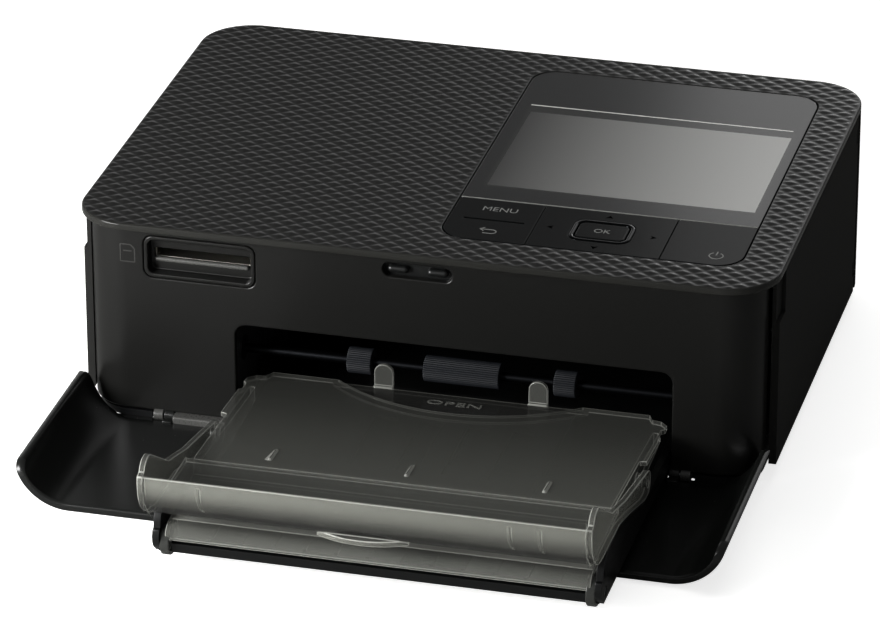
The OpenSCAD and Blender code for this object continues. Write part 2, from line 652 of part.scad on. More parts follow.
module drive_bracket() color("#b4b7ba") in_frame() difference() {
    union() {
        across(bracket_x, bracket_x + plate_t)
            polygon([[pickup_at[0] - 5, floor_top], [takeup_at[0] + 24, floor_top],
            [takeup_at[0] + 24, takeup_at[1] + 6], [takeup_at[0] - 8, takeup_at[1] + 6],
            [capstan_at[0] - 4, main_board_z - 1], [pickup_at[0] - 5, main_board_z - 1]]);
        for (y = [pickup_at[0] - 5, takeup_at[0] + 22.8])
            box([bracket_x + plate_t, y, floor_top], [left_plate, y + 1.2, pickup_at[1] - 8]);
    }
    for (p = [motor_at, ribbon_motor_at]) rod(bracket_x - 1, bracket_x + 3, p, pitch_r(pinion_teeth) + 0.9);
    for (p = [idler_a_at, idler_b_at]) rod(bracket_x - 1, bracket_x + 3, p, 1.1);
    for (p = [pickup_at, capstan_at, takeup_at]) rod(bracket_x - 1, bracket_x + 3, p, 3);
}

module shaft_bearings() color("#d8d4c8") in_frame()
    for (x = [left_plate, right_plate])
        for (p = [[pickup_at, pickup_shaft_r], [capstan_at, shaft_r], [platen_at, shaft_r]])
        difference() {
            rod(x, x + plate_t + 0.4, p[0], bearing_r);
            rod(x - 1, x + plate_t + 2, p[0], p[1] + run_gap);
        }

// Sloping sheet that leads the prints down to the opening, over the pick-up rollers
module paper_guide() color("#131416") in_frame() across(left_plate + plate_t, right_plate) {
    low = pickup_at + [6, pickup_r + 2.4];
    high = capstan_at + [-capstan_r - 2.4, capstan_r - 1.6];
    polygon([low, high, high - [0, 1], low - [0, 1]]);
}

module gear_posts() color("#9a9da1") in_frame() for (p = [idler_a_at, idler_b_at]) {
    rod(left_plate - gear_w - 0.9, left_plate + plate_t, p, 1.5);
    rod(bracket_x, left_plate - gear_w - 0.9, p, 1.1);
}

// ---- Paper drive ----

roller_spans = [[-30.2, -23.7], [-10, 10], [24.2, 30]];

module pickup_shaft() color("#b9bcc0") in_frame()
    rod(gear_x - 0.4, right_plate + plate_t + 1, pickup_at, pickup_shaft_r);
module pickup_rollers() color("#2a3140") in_frame() for (s = roller_spans) difference() {
    rod(tray_x + s[0], tray_x + s[1], pickup_at, pickup_r);
    rod(tray_x + s[0] - 1, tray_x + s[1] + 1, pickup_at, pickup_shaft_r);
}
module pickup_gear() color("#e4e0d4") in_frame()
    gear(pickup_teeth, pickup_at, pickup_turn, gear_x, gear_x + gear_w, pickup_shaft_r);
module idler_gear_front() color("#e4e0d4") in_frame()
    gear(idler_teeth, idler_a_at, idler_a_turn, gear_x, gear_x + gear_w, 1.5 + run_gap);
module idler_gear_rear() color("#e4e0d4") in_frame()
    gear(idler_teeth, idler_b_at, idler_b_turn, gear_x, gear_x + gear_w, 1.5 + run_gap);

module capstan_roller() color("#aeb1b5") in_frame() {
    rod(left_plate + plate_t + 2, right_plate - 2, capstan_at, capstan_r);
    for (x = [[gear_x + gear_w - 0.5, left_plate + plate_t + 2.5],
        [right_plate - 2.5, right_plate + plate_t + 1]])
        rod(x[0], x[1], capstan_at, shaft_r);
    gear(capstan_teeth, capstan_at, 0, gear_x, gear_x + gear_w, shaft_r - 0.4);
}

pinch_r = 2.4;
pinch_axle_r = 1;
pinch_at = capstan_at + [0, capstan_r + pinch_r + 0.25];
module pinch_roller() color("#2c2e31") in_frame() {
    rod(tray_x - 48, tray_x + 48, pinch_at, pinch_r);
    rod(left_plate - 0.3, right_plate + plate_t + 0.3, pinch_at, pinch_axle_r);
}

module feed_motor() color("#8f9296") in_frame() {
    rod(bracket_x - motor_l, bracket_x, motor_at, 10);
    rod(bracket_x - 1, bracket_x + 0.6, motor_at, 3);
}
module motor_pinion() color("#c9a24b") in_frame() {
    gear(pinion_teeth, motor_at, pinion_turn, gear_x, gear_x + gear_w, 0.8);
    rod(bracket_x + 0.7, gear_x + gear_w, motor_at, 1);
}
module ribbon_motor() color("#8f9296") in_frame() {
    rod(bracket_x - 20, bracket_x, ribbon_motor_at, 7.5);
    rod(bracket_x - 1, bracket_x + 0.6, ribbon_motor_at, 3);
}
module ribbon_pinion() color("#c9a24b") in_frame() {
    gear(pinion_teeth, ribbon_motor_at, ribbon_turn, gear_x, gear_x + gear_w, 0.8);
    rod(bracket_x + 0.7, gear_x + gear_w, ribbon_motor_at, 1);
}

module platen_roller() color("#26282b") in_frame() {
    rod(tray_x - 53, tray_x + 53, platen_at, platen_r);
    rod(left_plate - 0.5, right_plate + plate_t + 1, platen_at, shaft_r);
}

// ---- Printing ----

head_gap = 0.3;
head_z = platen_at[1] + platen_r + head_gap;
module print_head() color("#c4c7ca") in_frame() {
    box([tray_x - 51, platen_at[0] - 4, head_z], [tray_x + 51, platen_at[0] + 4, head_z + 2]);
    for (i = [0:16]) box([tray_x - 50 + 6*i, platen_at[0] - 3.6, head_z + 2],
        [tray_x - 48 + 6*i, platen_at[0] + 3.6, head_z + 12]);
    box([tray_x - 51, platen_at[0] - 4, head_z + 12], [tray_x + 51, platen_at[0] + 4, head_z + 14]);
}

bracket_top = rim_z - 3.2;
head_pivot_r = 1.2;
module head_bracket() color("#9ea1a5") in_frame() {
    box([tray_x - 48, platen_at[0] - 2, bracket_top - 1],
        [tray_x + 48, head_pivot_at[0] + 1.2, bracket_top]);
    box([tray_x - 48, platen_at[0] - 2, head_z + 14], [tray_x + 48, platen_at[0] - 0.6, bracket_top - 0.9]);
    for (x = [tray_x - 48, tray_x + 45]) difference() {
        union() {
            rod(x, x + 3, head_pivot_at, head_pivot_r + 0.9);
            box([x, head_pivot_at[0] - 2.5, head_pivot_at[1]],
                [x + 3, head_pivot_at[0] + 1.2, bracket_top - 0.5]);
        }
        rod(x - 1, x + 5, head_pivot_at, head_pivot_r + run_gap);
    }
}

module head_pivot() color("#9a9da1") in_frame()
    rod(left_plate, right_plate + plate_t, head_pivot_at, head_pivot_r);

spool_tube_r = 7.5;
spindle_r = 3;
supply_roll_r = 6;
takeup_roll_r = 4;
ink_x0 = tray_x - 54;
ink_x1 = side_x - wall - 6;
module ink_cassette() color("#3b3f46") in_frame() {
    for (p = [supply_at, takeup_at]) difference() {
        rod(ink_x0, ink_x1, p, spool_tube_r);
        rod(ink_x0 + 1.2, tray_x + 52, p, spool_tube_r - 1);
        rod(ink_x0 - 1, tray_x + 54.5, p, spindle_r + run_gap);
        // the film leaves through a slot along the lower side
        box([tray_x - 52, p[0] - 6, p[1] - 9], [tray_x + 52, p[0] + 6, p[1] - 3.5]);
    }
    for (x = [ink_x0, ink_x1 - 10]) box([x, takeup_at[0] + spool_tube_r - 1, takeup_at[1] - 3],
        [x + (x == ink_x0 ? 2 : 10), supply_at[0] - spool_tube_r + 1, takeup_at[1] + 3]);
}

module spool(at, roll, x0) {
    rod(tray_x - 51, tray_x + 51, at, roll);
    rod(x0, tray_x + 54, at, spindle_r);
}
module supply_spool() color("#30343c") in_frame() spool(supply_at, supply_roll_r, left_plate - 0.4);
module takeup_spool() color("#30343c") in_frame() {
    spool(takeup_at, takeup_roll_r, gear_x + 0.2);
    gear(capstan_teeth, takeup_at, 0, gear_x, gear_x + gear_w, spindle_r - 0.4);
}

module ribbon_film() color("#5b4a86") in_frame() across(tray_x - 50.5, tray_x + 50.5) {
    film_y = 2.6;
    top = [supply_at[1] - supply_roll_r - 0.15, takeup_at[1] - takeup_roll_r - 0.15];
    polygon([[supply_at[0], top[0]], [supply_at[0] - film_y, top[0]], [platen_at[0] + 4.5, head_z - 0.05],
        [platen_at[0] - 4.5, head_z - 0.05], [takeup_at[0] + film_y, top[1]], [takeup_at[0], top[1]],
        [takeup_at[0], top[1] - 0.1], [takeup_at[0] + film_y, top[1] - 0.1],
            [platen_at[0] - 4.5, head_z - 0.15],
        [platen_at[0] + 4.5, head_z - 0.15], [supply_at[0] - film_y, top[0] - 0.1],
            [supply_at[0], top[0] - 0.1]]);
}

// ---- Paper cassette ----

wall_foot = [tray_front + 7.5, wall_high - 6];
tray_end_r = 4.3;
// Side wall of the tray, in (y, z): low at the back, high at the front, with a round end
function tray_wall_profile() = concat([[tray_back, tray_z], [tray_back, wall_low],
    [arm_pivot[0] - 4.2, wall_low],
    [tray_front + 31, 14.4], [tray_front + 19, wall_high]], arc(wall_foot, 6, 90, 180, 6),
    arc([tray_front + tray_end_r, tray_z + tray_end_r], tray_end_r, 150, 270, 12));

module cassette_tray() color("#0e0f10") in_frame() {
    difference() {
        union() {
            box([tray_x0, tray_front + 2.5, tray_z], [tray_x1, tray_back, tray_floor]);
            for (x = [tray_x0, tray_x1 - tray_wall]) across(x, x + tray_wall) polygon(tray_wall_profile());
            box([tray_x0, tray_back - 1.6, tray_z], [tray_x1, tray_back, wall_low + 3.4]);
            // fixed cover over the rear third and low lip at the front
            box([tray_x0, tray_back - 38, wall_low + 2.2], [tray_x1, tray_back, wall_low + 3.4]);
            for (x = [tray_x0, tray_x1 - tray_wall])
                box([x, tray_back - 38, tray_z], [x + tray_wall, tray_back, wall_low + 3.4]);
            box([tray_x0 + 1, tray_front + 2, tray_z], [tray_x1 - 1, tray_front + 3.6, tray_z + 2.4]);
        }
        for (x = [tray_x0 - 1, tray_x1 - tray_wall - 1])
            rod(x, x + tray_wall + 2, lid_pivot, lid_pin_r + run_gap);
        // room for the round ends of the inner lid
        for (x = [tray_x - lid_half - 1.2, tray_x + lid_half - 1.3])
            rod(x, x + 2.5, lid_pivot, lid_end_r + 0.3);
    }
    // ribs that the paper slides on
    for (x = [-44:8:44]) box([tray_x + x - 0.5, tray_front + 8, tray_z + 1.3],
        [tray_x + x + 0.5, tray_front + 36, tray_z + 1.9]);
    // ears that carry the lift plate
    for (x = [tray_x - lift_half - 2.2, tray_x + lift_half + 0.2]) difference() {
        box([x, lift_at[0] - 1.6, tray_floor - 0.1], [x + 2, lift_at[0] + 1.6, lift_at[1] + 1.2]);
        rod(x - 1, x + 3, lift_at, lift_pin_r + run_gap);
    }
}

module lift_plate() color("#2e3033") in_frame() {
    difference() {
        box([tray_x - lift_half, lift_at[0], lift_at[1] - 0.5],
            [tray_x + lift_half, lift_at[0] + lift_l, lift_at[1] + 0.5]);
        for (x = [-18:12:18]) box([tray_x + x - 3, lift_at[0] + 11, 0],
            [tray_x + x + 3, lift_at[0] + lift_l - 17, 30]);
    }
    rod(tray_x - lift_half - 2.2, tray_x + lift_half + 2.2, lift_at, lift_pin_r);
}

leaf_t = 0.15;
leaf_half = 14;
leaf_rise = lift_at[1] - 0.5 - tray_floor - leaf_t - 0.05;
leaf_r = (leaf_half*leaf_half + leaf_rise*leaf_rise)/(2*leaf_rise);
module lift_spring() color("#a4a7ab") in_frame() across(tray_x - 4, tray_x + 4) {
    a = asin(leaf_half/leaf_r);
    middle = [lift_at[0] + lift_l - 8 - leaf_half, tray_floor + leaf_t + leaf_rise - leaf_r];
    polygon(concat(arc(middle, leaf_r, 90 + a, 90 - a), arc(middle, leaf_r - leaf_t, 90 - a, 90 + a)));
}

// Plan of the inner lid's sloping panel, from its middle line
lid_half = 53.5;
wing_half = 55.2;
finger_r = 46;
finger_depth = 13;
tab_at = 20.3;
module lid_plan() difference() {
    translate([tray_x, 0]) polygon([[-lid_half, lid_front[0]], [lid_half, lid_front[0]],
        [lid_half, arm_pivot[0] + 4.1], [wing_half, arm_pivot[0] + 4.6], [wing_half, lid_rear[0] - 13.2],
        [wing_half - 0.8, lid_rear[0] - 12.4], [wing_half - 0.8, lid_rear[0] - 9],
            [wing_half, lid_rear[0] - 8],
        [wing_half, lid_rear[0] - 5.5], [wing_half - 2, lid_rear[0] - 3.2],
            [wing_half - 4.4, lid_rear[0] - 2.8],
        [wing_half - 5.6, lid_rear[0]], [5.6 - wing_half, lid_rear[0]],
            [4.4 - wing_half, lid_rear[0] - 2.8],
        [2 - wing_half, lid_rear[0] - 3.2], [-wing_half, lid_rear[0] - 5.5], [-wing_half, lid_rear[0] - 8],
        [0.8 - wing_half, lid_rear[0] - 9], [0.8 - wing_half, lid_rear[0] - 12.4],
            [-wing_half, lid_rear[0] - 13.2],
        [-wing_half, arm_pivot[0] + 4.6], [-lid_half, arm_pivot[0] + 4.1]]);
}
module finger_recess(grow) {
    intersection() {
        translate([tray_x, lid_rear[0] - finger_depth + finger_r]) circle(r = finger_r - grow, $fn = 120);
        translate([tray_x - 60, lid_rear[0] - 40]) square([120, 60]);
    }
}
lid_slope = (lid_front[1] - lid_rear[1])/(lid_front[0] - lid_rear[0]);
function lid_z(y) = lid_rear[1] + (y - lid_rear[0])*lid_slope;
// Slab that follows the slope of the lid between two depths below its surface
module slope_slab(low, high) across(tray_x - 60, tray_x + 60)
    polygon([[lid_front[0] - 1, lid_z(lid_front[0] - 1) - high],
    [lid_rear[0] + 2, lid_z(lid_rear[0] + 2) - high], [lid_rear[0] + 2, lid_z(lid_rear[0] + 2) - low],
    [lid_front[0] - 1, lid_z(lid_front[0] - 1) - low]]);
deck_z = tray_z + 7.6;
nose_r = 3.8;

module inner_lid() color("#3c3d3c") in_frame() {
    intersection() {
        rise(0, 40) lid_plan();
        difference() {
            slope_slab(0, 2.2);
            difference() {
                slope_slab(lid_t, 3);
                rise(0, 40) finger_recess(-1.2);
            }
            intersection() {
                slope_slab(-1, 0.9);
                rise(0, 40) finger_recess(0);
            }
        }
    }
    // step down from the panel, lower deck and round nose
    nose = [tray_front + 0.8 + nose_r, deck_z - nose_r];
    across(tray_x - lid_half, tray_x + lid_half) polygon(concat(
        [[lid_front[0], lid_front[1] - lid_t], [lid_front[0], lid_front[1]],
        [lid_front[0] - lid_t, lid_front[1] - 0.3], [lid_front[0] - lid_t - 0.6, deck_z + lid_t + 0.6]],
        arc(nose, nose_r, 90, 180, 8), arc(nose, nose_r - 1.2, 180, 90, 8),
        [[lid_front[0] - 0.6, deck_z + 0.3]]));
    for (side = [-1, 1]) {
        // side skirts, round ends with their pins, and the ears that carry the outer lid
        across(tray_x + side*lid_half - (side > 0 ? lid_t : 0),
            tray_x + side*lid_half + (side > 0 ? 0 : lid_t))
            polygon([[lid_front[0], lid_front[1] - 0.6], [lid_rear[0] - 8, lid_z(lid_rear[0] - 8) - 0.6],
            [lid_rear[0] - 8, 9.8], [arm_pivot[0] - 5, 8.4], [lid_front[0], 9.8], [tray_front + 8, 8.4],
            [tray_front + 8, deck_z - 0.4], [lid_front[0] - 1, deck_z + 0.4]]);
        disc(side, lid_half - 1, lid_half + 1.1, lid_pivot, lid_end_r);
        disc(side, lid_half - 1, lid_half + 1.3, arm_pivot, 2.4);
        translate([tray_x + side*tab_at, lid_rear[0] + 1.3, lid_z(lid_rear[0])]) rotate([90, 0, 0]) {
            translate([0, 3, 0]) cylinder(h = 1.1, r = 2.5);
            translate([-2.5, -1.6, 0]) cube([5, 4.6, 1.1]);
        }
        translate([tray_x + side*tab_at - 2.5, lid_rear[0] - 0.6, lid_z(lid_rear[0]) - 1.6])
            cube([5, 1.9, 1.2]);
    }
    for (x = [-35, 0, 35]) across(tray_x + x - 0.4, tray_x + x + 0.4)
        polygon([[lid_front[0] + 2.4, lid_z(lid_front[0] + 2.4) - 0.2],
        [lid_front[0] + 9, lid_z(lid_front[0] + 9) - 0.2],
            [lid_front[0] + 9, lid_z(lid_front[0] + 9) + 0.3],
        [lid_front[0] + 2.4, lid_z(lid_front[0] + 2.4) + 0.5]]);
}

module inner_lid_pins() color("#9a9da1") in_frame() for (side = [-1, 1]) {
    disc(side, lid_half + 1.1, tray_w/2 - 0.2, lid_pivot, lid_pin_r);
    disc(side, lid_half + 1.3, tray_w/2 - 0.1, arm_pivot, arm_pin_r);
}

// End plate of the outer lid, in (y, z)
function arm_profile() = concat(arc(arm_pivot, arm_end_r, 75, -90, 10),
    [[arm_pivot[0] - 4, arm_pivot[1] - 2.9],
    [tray_front + 31, 14.8], [tray_front + 19, wall_high + 0.4], [scoop_at[0], wall_high + 0.6]],
    arc(scoop_at, scoop_r, 270, 167, 9), arc([tray_front - 5.2, scoop_at[1] + 1.2], 4.4, 155, 50, 6),
    [[tray_front + 10.9, 25.2], [tray_front + 25.8, 21], [arm_pivot[0] + 0.2, arm_pivot[1] + 3.3]]);
arm_t = 1.5;
thumb_z = scoop_at[1] - 10.4;
thumb_r = 23;

module outer_lid() color("#6f716f") in_frame() {
    for (side = [-1, 1]) difference() {
        across(tray_x + (side > 0 ? tray_w/2 - arm_t : -tray_w/2),
            tray_x + (side > 0 ? tray_w/2 : arm_t - tray_w/2))
            polygon(arm_profile());
        rod(tray_x - tray_w, tray_x + tray_w, arm_pivot, arm_pin_r + run_gap);
    }
    // scoop that stops the prints: floor and round front wall
    across(tray_x - tray_w/2 + arm_t - 0.1, tray_x + tray_w/2 - arm_t + 0.1) polygon(concat(
        [[tray_front + 24.5, wall_high + 0.6]], arc(scoop_at, scoop_r, 270, 167, 12),
        arc(scoop_at, scoop_r - lid_t, 167, 270, 12), [[tray_front + 24.5, wall_high + 0.6 + lid_t]]));
    // half-moon lip for the thumb
    rise(thumb_z, thumb_z + 1.5) intersection() {
        translate([tray_x - 1.5, scoop_at[0] - 8.6 + thumb_r]) circle(r = thumb_r, $fn = 96);
        translate([tray_x - 13, scoop_at[0] - 9]) square([23, 5.1]);
    }
    for (x = [-41.5, 35.9, 43.3]) across(tray_x + x - 0.4, tray_x + x + 0.4) polygon(concat(
        arc(scoop_at, scoop_r - lid_t + 0.1, 178, 240, 6),
            arc(scoop_at, scoop_r - lid_t - 0.7, 240, 178, 6)));
}

bottom_case();
rubber_feet();
case_screws();
top_cover();
front_panel();
left_side_panel();
right_side_panel();
rear_panel();
ink_door();
ink_door_pins();
front_door();
door_hinge_pins();
door_catch();
card_slot_bezel();
card_connector();
control_window();
lcd_module();
key_board();
menu_key();
key_gimbal();
navigation_key();
ok_key();
ok_ring();
power_key();
main_board();
wireless_module();
dc_inlet();
data_port();
chassis_left();
chassis_right();
chassis_bridges();
drive_bracket();
shaft_bearings();
paper_guide();
gear_posts();
pickup_shaft();
pickup_rollers();
pickup_gear();
idler_gear_front();
idler_gear_rear();
capstan_roller();
pinch_roller();
feed_motor();
motor_pinion();
platen_roller();
print_head();
head_bracket();
head_pivot();
ink_cassette();
ribbon_film();
supply_spool();
takeup_spool();
ribbon_motor();
ribbon_pinion();
cassette_tray();
lift_plate();
lift_spring();
inner_lid();
inner_lid_pins();
outer_lid();
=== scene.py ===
"""A compact photo printer with its paper cassette in place and its covers open.

Sizes are millimetres about the middle of the body (X right, Y back, Z up) until piece() turns
them to the frame's metres. The CAD frame gives every piece its place.
"""

import json
import math

import bmesh
import bpy
import numpy as np
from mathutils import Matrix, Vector
from mathutils.geometry import tessellate_polygon

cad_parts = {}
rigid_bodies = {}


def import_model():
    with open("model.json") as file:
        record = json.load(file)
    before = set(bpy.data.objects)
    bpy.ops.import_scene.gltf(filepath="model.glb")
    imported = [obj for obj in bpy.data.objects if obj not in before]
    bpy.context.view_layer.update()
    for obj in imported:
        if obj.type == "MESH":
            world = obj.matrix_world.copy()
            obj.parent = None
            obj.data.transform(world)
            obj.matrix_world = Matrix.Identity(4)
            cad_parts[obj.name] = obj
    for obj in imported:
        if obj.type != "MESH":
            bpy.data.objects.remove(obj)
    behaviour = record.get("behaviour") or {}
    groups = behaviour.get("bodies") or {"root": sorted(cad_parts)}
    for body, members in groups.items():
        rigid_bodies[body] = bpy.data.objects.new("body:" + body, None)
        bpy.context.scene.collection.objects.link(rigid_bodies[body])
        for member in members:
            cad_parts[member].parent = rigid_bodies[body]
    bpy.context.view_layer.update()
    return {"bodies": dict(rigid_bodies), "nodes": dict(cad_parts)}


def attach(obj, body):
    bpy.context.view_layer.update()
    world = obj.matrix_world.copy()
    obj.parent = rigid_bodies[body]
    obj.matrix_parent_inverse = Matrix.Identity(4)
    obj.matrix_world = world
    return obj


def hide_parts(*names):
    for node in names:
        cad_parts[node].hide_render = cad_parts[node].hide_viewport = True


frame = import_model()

nodes = frame["nodes"]
home = next(body for body, e in frame["bodies"].items() if nodes["bottom_case"].parent == e)

# ---- Studio ------------------------------------------------------------------
# A long lens looks down on the printer from its front right. Five soft lamps light it: one
# overhead, three behind it (a broad one, a long low one, and a small one for the right border),
# and one low at the front left.

camera = bpy.data.objects.new("camera", bpy.data.cameras.new("camera"))
camera.data.sensor_width = 36
camera.data.lens = 231.46
camera.data.shift_x = -0.01727
camera.data.shift_y = 0.02368
camera.data.clip_end = 50
camera.location = (0.3267, -1.2632, 0.6626)
looked_at = Vector((0.00214, 0.00836, 0.02037))
camera.rotation_euler = (looked_at - camera.location).to_track_quat("-Z", "Y").to_euler()
bpy.context.scene.collection.objects.link(camera)
bpy.context.scene.camera = camera
bpy.context.scene.view_settings.view_transform = "Standard"


def linear(code):
    """An sRGB hex colour as linear red, green, blue and alpha."""
    part = np.array([int(code[i:i + 2], 16) for i in (1, 3, 5)]) / 255
    part = np.where(part <= 0.04045, part / 12.92, ((part + 0.055) / 1.055) ** 2.4)
    return (*part, 1.0)


def node(tree, kind, links=(), **settings):
    """Adds a node: names with a leading capital set inputs, the rest set properties, and each
    link is (output socket, input name or number)."""
    made = tree.nodes.new(kind)
    for name, value in settings.items():
        if name[0].isupper():
            made.inputs[name.replace("_", " ")].default_value = value
        else:
            setattr(made, name, value)
    for source, target in links:
        tree.links.new(source, made.inputs[target])
    return made


def material(name, colour=None, **surface):
    """A material with one Principled shader, of an sRGB colour where no pattern gives it one.
    Returns the material, its node tree and the shader."""
    made = bpy.data.materials.new(name)
    made.use_nodes = True
    shader = made.node_tree.nodes["Principled BSDF"]
    if colour:
        surface["Base_Color"] = linear(colour)
    for key, value in surface.items():
        shader.inputs[key.replace("_", " ")].default_value = value
    return made, made.node_tree, shader


def lamp(name, place, target, size, power, seen=True):
    """A rectangular area lamp that faces its target, and is mirrored in the printer if seen."""
    made = bpy.data.objects.new(name, bpy.data.lights.new(name, "AREA"))
    made.data.shape = "RECTANGLE"
    made.data.size, made.data.size_y = size
    made.data.energy = power
    made.location = place
    turn = Vector(target) - Vector(place)
    made.rotation_euler = turn.to_track_quat("-Z", "Y").to_euler()
    made.visible_camera = False
    made.visible_glossy = seen
    bpy.context.scene.collection.objects.link(made)


lamp("overhead lamp", (-0.25, 0.75, 1.6), (0, 0, 0), (1.6, 1.2), 8, seen=False)
lamp("rear lamp", (0.13, 0.62, 0.34), (0.04, 0.05, 0.05), (0.42, 0.3), 0.36)
lamp("low lamp", (-0.35, 0.95, 0.17), (0, 0.05, 0.05), (1.3, 0.16), 0.5)
lamp("border lamp", (0.05, 0.42, 0.08), (0.09, 0.05, 0.055), (0.12, 0.025), 0.035)
lamp("front lamp", (-0.34, -0.32, 0.16), (-0.06, -0.05, 0.02), (0.24, 0.18), 4.0)

# A dim pale room, a little brighter in mirrors than it is as a fill
world = bpy.data.worlds.new("studio")
world.use_nodes = True
tree = world.node_tree
path = node(tree, "ShaderNodeLightPath")
fill = node(tree, "ShaderNodeMapRange", [(path.outputs["Is Glossy Ray"], "Value")],
            To_Min=0.13, To_Max=0.2)
tree.links.new(fill.outputs["Result"], tree.nodes["Background"].inputs["Strength"])
tree.nodes["Background"].inputs["Color"].default_value = linear("#ffffff")
bpy.context.scene.world = world

floor_mesh = bpy.data.meshes.new("floor")
floor_mesh.from_pydata([(-6, -6, 0), (6, -6, 0), (6, 6, 0), (-6, 6, 0)], [], [(0, 1, 2, 3)])
floor = bpy.data.objects.new("floor", floor_mesh)
bpy.context.scene.collection.objects.link(floor)
# Matt seamless paper: white to the lens, with only a breath of shadow, and grey in mirrors
paper, tree, shader = material("matt paper sweep", Roughness=0.9)
shader.inputs["Emission Color"].default_value = linear("#ffffff")
path = node(tree, "ShaderNodeLightPath")
dim = node(tree, "ShaderNodeMix", [(path.outputs["Is Glossy Ray"], "Factor")], data_type="RGBA")
dim.inputs[6].default_value, dim.inputs[7].default_value = linear("#f4f4f2"), linear("#8a8a88")
tree.links.new(dim.outputs[2], shader.inputs["Base Color"])
glow = node(tree, "ShaderNodeMath", [(path.outputs["Is Camera Ray"], 0)], operation="MULTIPLY")
glow.inputs[1].default_value = 0.75
tree.links.new(glow.outputs[0], shader.inputs["Emission Strength"])
floor_mesh.materials.append(paper)


# ---- Base, feet and screws ---------------------------------------------------
# The base is a shallow moulded tub of black ABS. Four rubber discs are glued under it, and
# four steel screws come up through it into the top cover's posts.

def grain(tree, shader, size, depth, spread=0.04, roughness=0.4):
    """Spark-eroded mould grain: fine noise of the given size in mm, raised by depth in mm, which
    also spreads the roughness a little."""
    place = node(tree, "ShaderNodeTexCoord")
    noise = node(tree, "ShaderNodeTexNoise", [(place.outputs["Object"], "Vector")],
                 Scale=1000 / size, Detail=3, Roughness=0.6)
    gloss = node(tree, "ShaderNodeMapRange", [(noise.outputs["Fac"], "Value")],
                 To_Min=roughness - spread, To_Max=roughness + spread)
    tree.links.new(gloss.outputs["Result"], shader.inputs["Roughness"])
    bump = node(tree, "ShaderNodeBump", [(noise.outputs["Fac"], "Height")],
                Strength=1, Distance=depth / 1000)
    tree.links.new(bump.outputs["Normal"], shader.inputs["Normal"])


def finish_node(name, made, edge=0.2, segments=2, angle=28, pierced=False):
    """Gives a CAD node its material, smooth shading, and moulded or tumbled edges: its triangles
    are welded and made flat faces again, and each edge sharper than the angle is rounded. A
    pierced plate keeps its triangles, since one flat face round many holes comes out torn."""
    shape = nodes[name]
    if "custom_normal" in shape.data.attributes:
        shape.data.attributes.remove(shape.data.attributes["custom_normal"])
    shape.data.materials.clear()
    shape.data.materials.append(made)
    shape.data.polygons.foreach_set("use_smooth", np.ones(len(shape.data.polygons), bool))
    weld = shape.modifiers.new("weld", "WELD")
    weld.merge_threshold = 1e-6
    if not pierced:
        flat = shape.modifiers.new("flat faces", "DECIMATE")
        flat.decimate_type = "DISSOLVE"
        flat.angle_limit = math.radians(1)
    if edge:
        rounding = shape.modifiers.new("rounded edges", "BEVEL")
        rounding.width = edge / 1000
        rounding.segments = segments
        rounding.limit_method = "ANGLE"
        rounding.angle_limit = math.radians(angle)
        rounding.miter_outer = "MITER_ARC"
    weigh = shape.modifiers.new("face weighted", "WEIGHTED_NORMAL")
    weigh.keep_sharp = True
    return shape


# Black ABS from a fine-grained mould: dull, with a broad soft sheen
base_plastic, tree, shader = material("grained ABS", "#121314", IOR=1.5, Specular_IOR_Level=0.3)
grain(tree, shader, 0.35, 0.01, roughness=0.5)
finish_node("bottom_case", base_plastic, 0.15)

# Black nitrile rubber: matt, and a little grey
foot_rubber, tree, shader = material("nitrile rubber", "#1a1a1a", IOR=1.52)
grain(tree, shader, 0.8, 0.02, roughness=0.8)
finish_node("rubber_feet", foot_rubber, 0.3)

# Zinc-plated steel: pale, bluish and slightly mottled
zinc, tree, shader = material("zinc plate", "#a9adb2", Metallic=1)
grain(tree, shader, 0.5, 0.004, roughness=0.35)
finish_node("case_screws", zinc, 0.1)


# ---- Top cover ---------------------------------------------------------------
# A moulded plate of satin black ABS with a rounded rim, an opening for the window and the keys,
# and small raised pips in a diamond lattice all over it, pressed by the mould.

home_y = 42.0           # the body's middle stands this far behind the frame's origin
body_w, body_d, body_h, corner_r = 182.2, 133.0, 57.6, 14.1
rim_z = 55.7            # underside of the cover's rim
window_w, window_d, window_x, window_y, window_r = 77.7, 108.4, 41.3, 0.9, 7.0
window_gap, opening_r = 0.3, 0.2        # gap round the window, and its opening's rounded edge
rim_r, foot_r, opening_foot_r = 0.5, 0.3, 0.1
pip_across, pip_along, pip_height = 5.17, 4.23, 0.46
pip_sink, fade_w = 0.12, 0.7            # the lattice sits this low, and fades this near its border
ALONG_Y, ALONG_X = (0, 2, 1), (2, 0, 1)


def arc(middle, radius, start, stop, steps):
    """Points on a circle from one angle to another, in degrees."""
    turn = np.radians(np.linspace(start, stop, steps + 1))
    return np.array(middle) + radius * np.column_stack([np.cos(turn), np.sin(turn)])


def rounded(x0, y0, x1, y1, radii, steps=12):
    """A rectangle's outline, anticlockwise from its low right corner, each corner an arc."""
    a, b, c, d = radii if np.ndim(radii) else (radii,) * 4
    return np.concatenate([arc((x1 - a, y0 + a), a, 270, 360, steps),
                           arc((x1 - b, y1 - b), b, 0, 90, steps),
                           arc((x0 + c, y1 - c), c, 90, 180, steps),
                           arc((x0 + d, y0 + d), d, 180, 270, steps)])


def inset(loop, depth):
    """The closed loop moved in by depth: each point goes along the sum of its two edges' normals,
    divided by one plus their product, so that both edges move by the same amount."""
    edge = np.roll(loop, -1, 0) - loop
    normal = np.column_stack([-edge[:, 1], edge[:, 0]]) / np.linalg.norm(edge, axis=1)[:, None]
    before = np.roll(normal, 1, 0)
    share = 1 + (normal * before).sum(1)
    return loop + depth * (normal + before) / share[:, None]


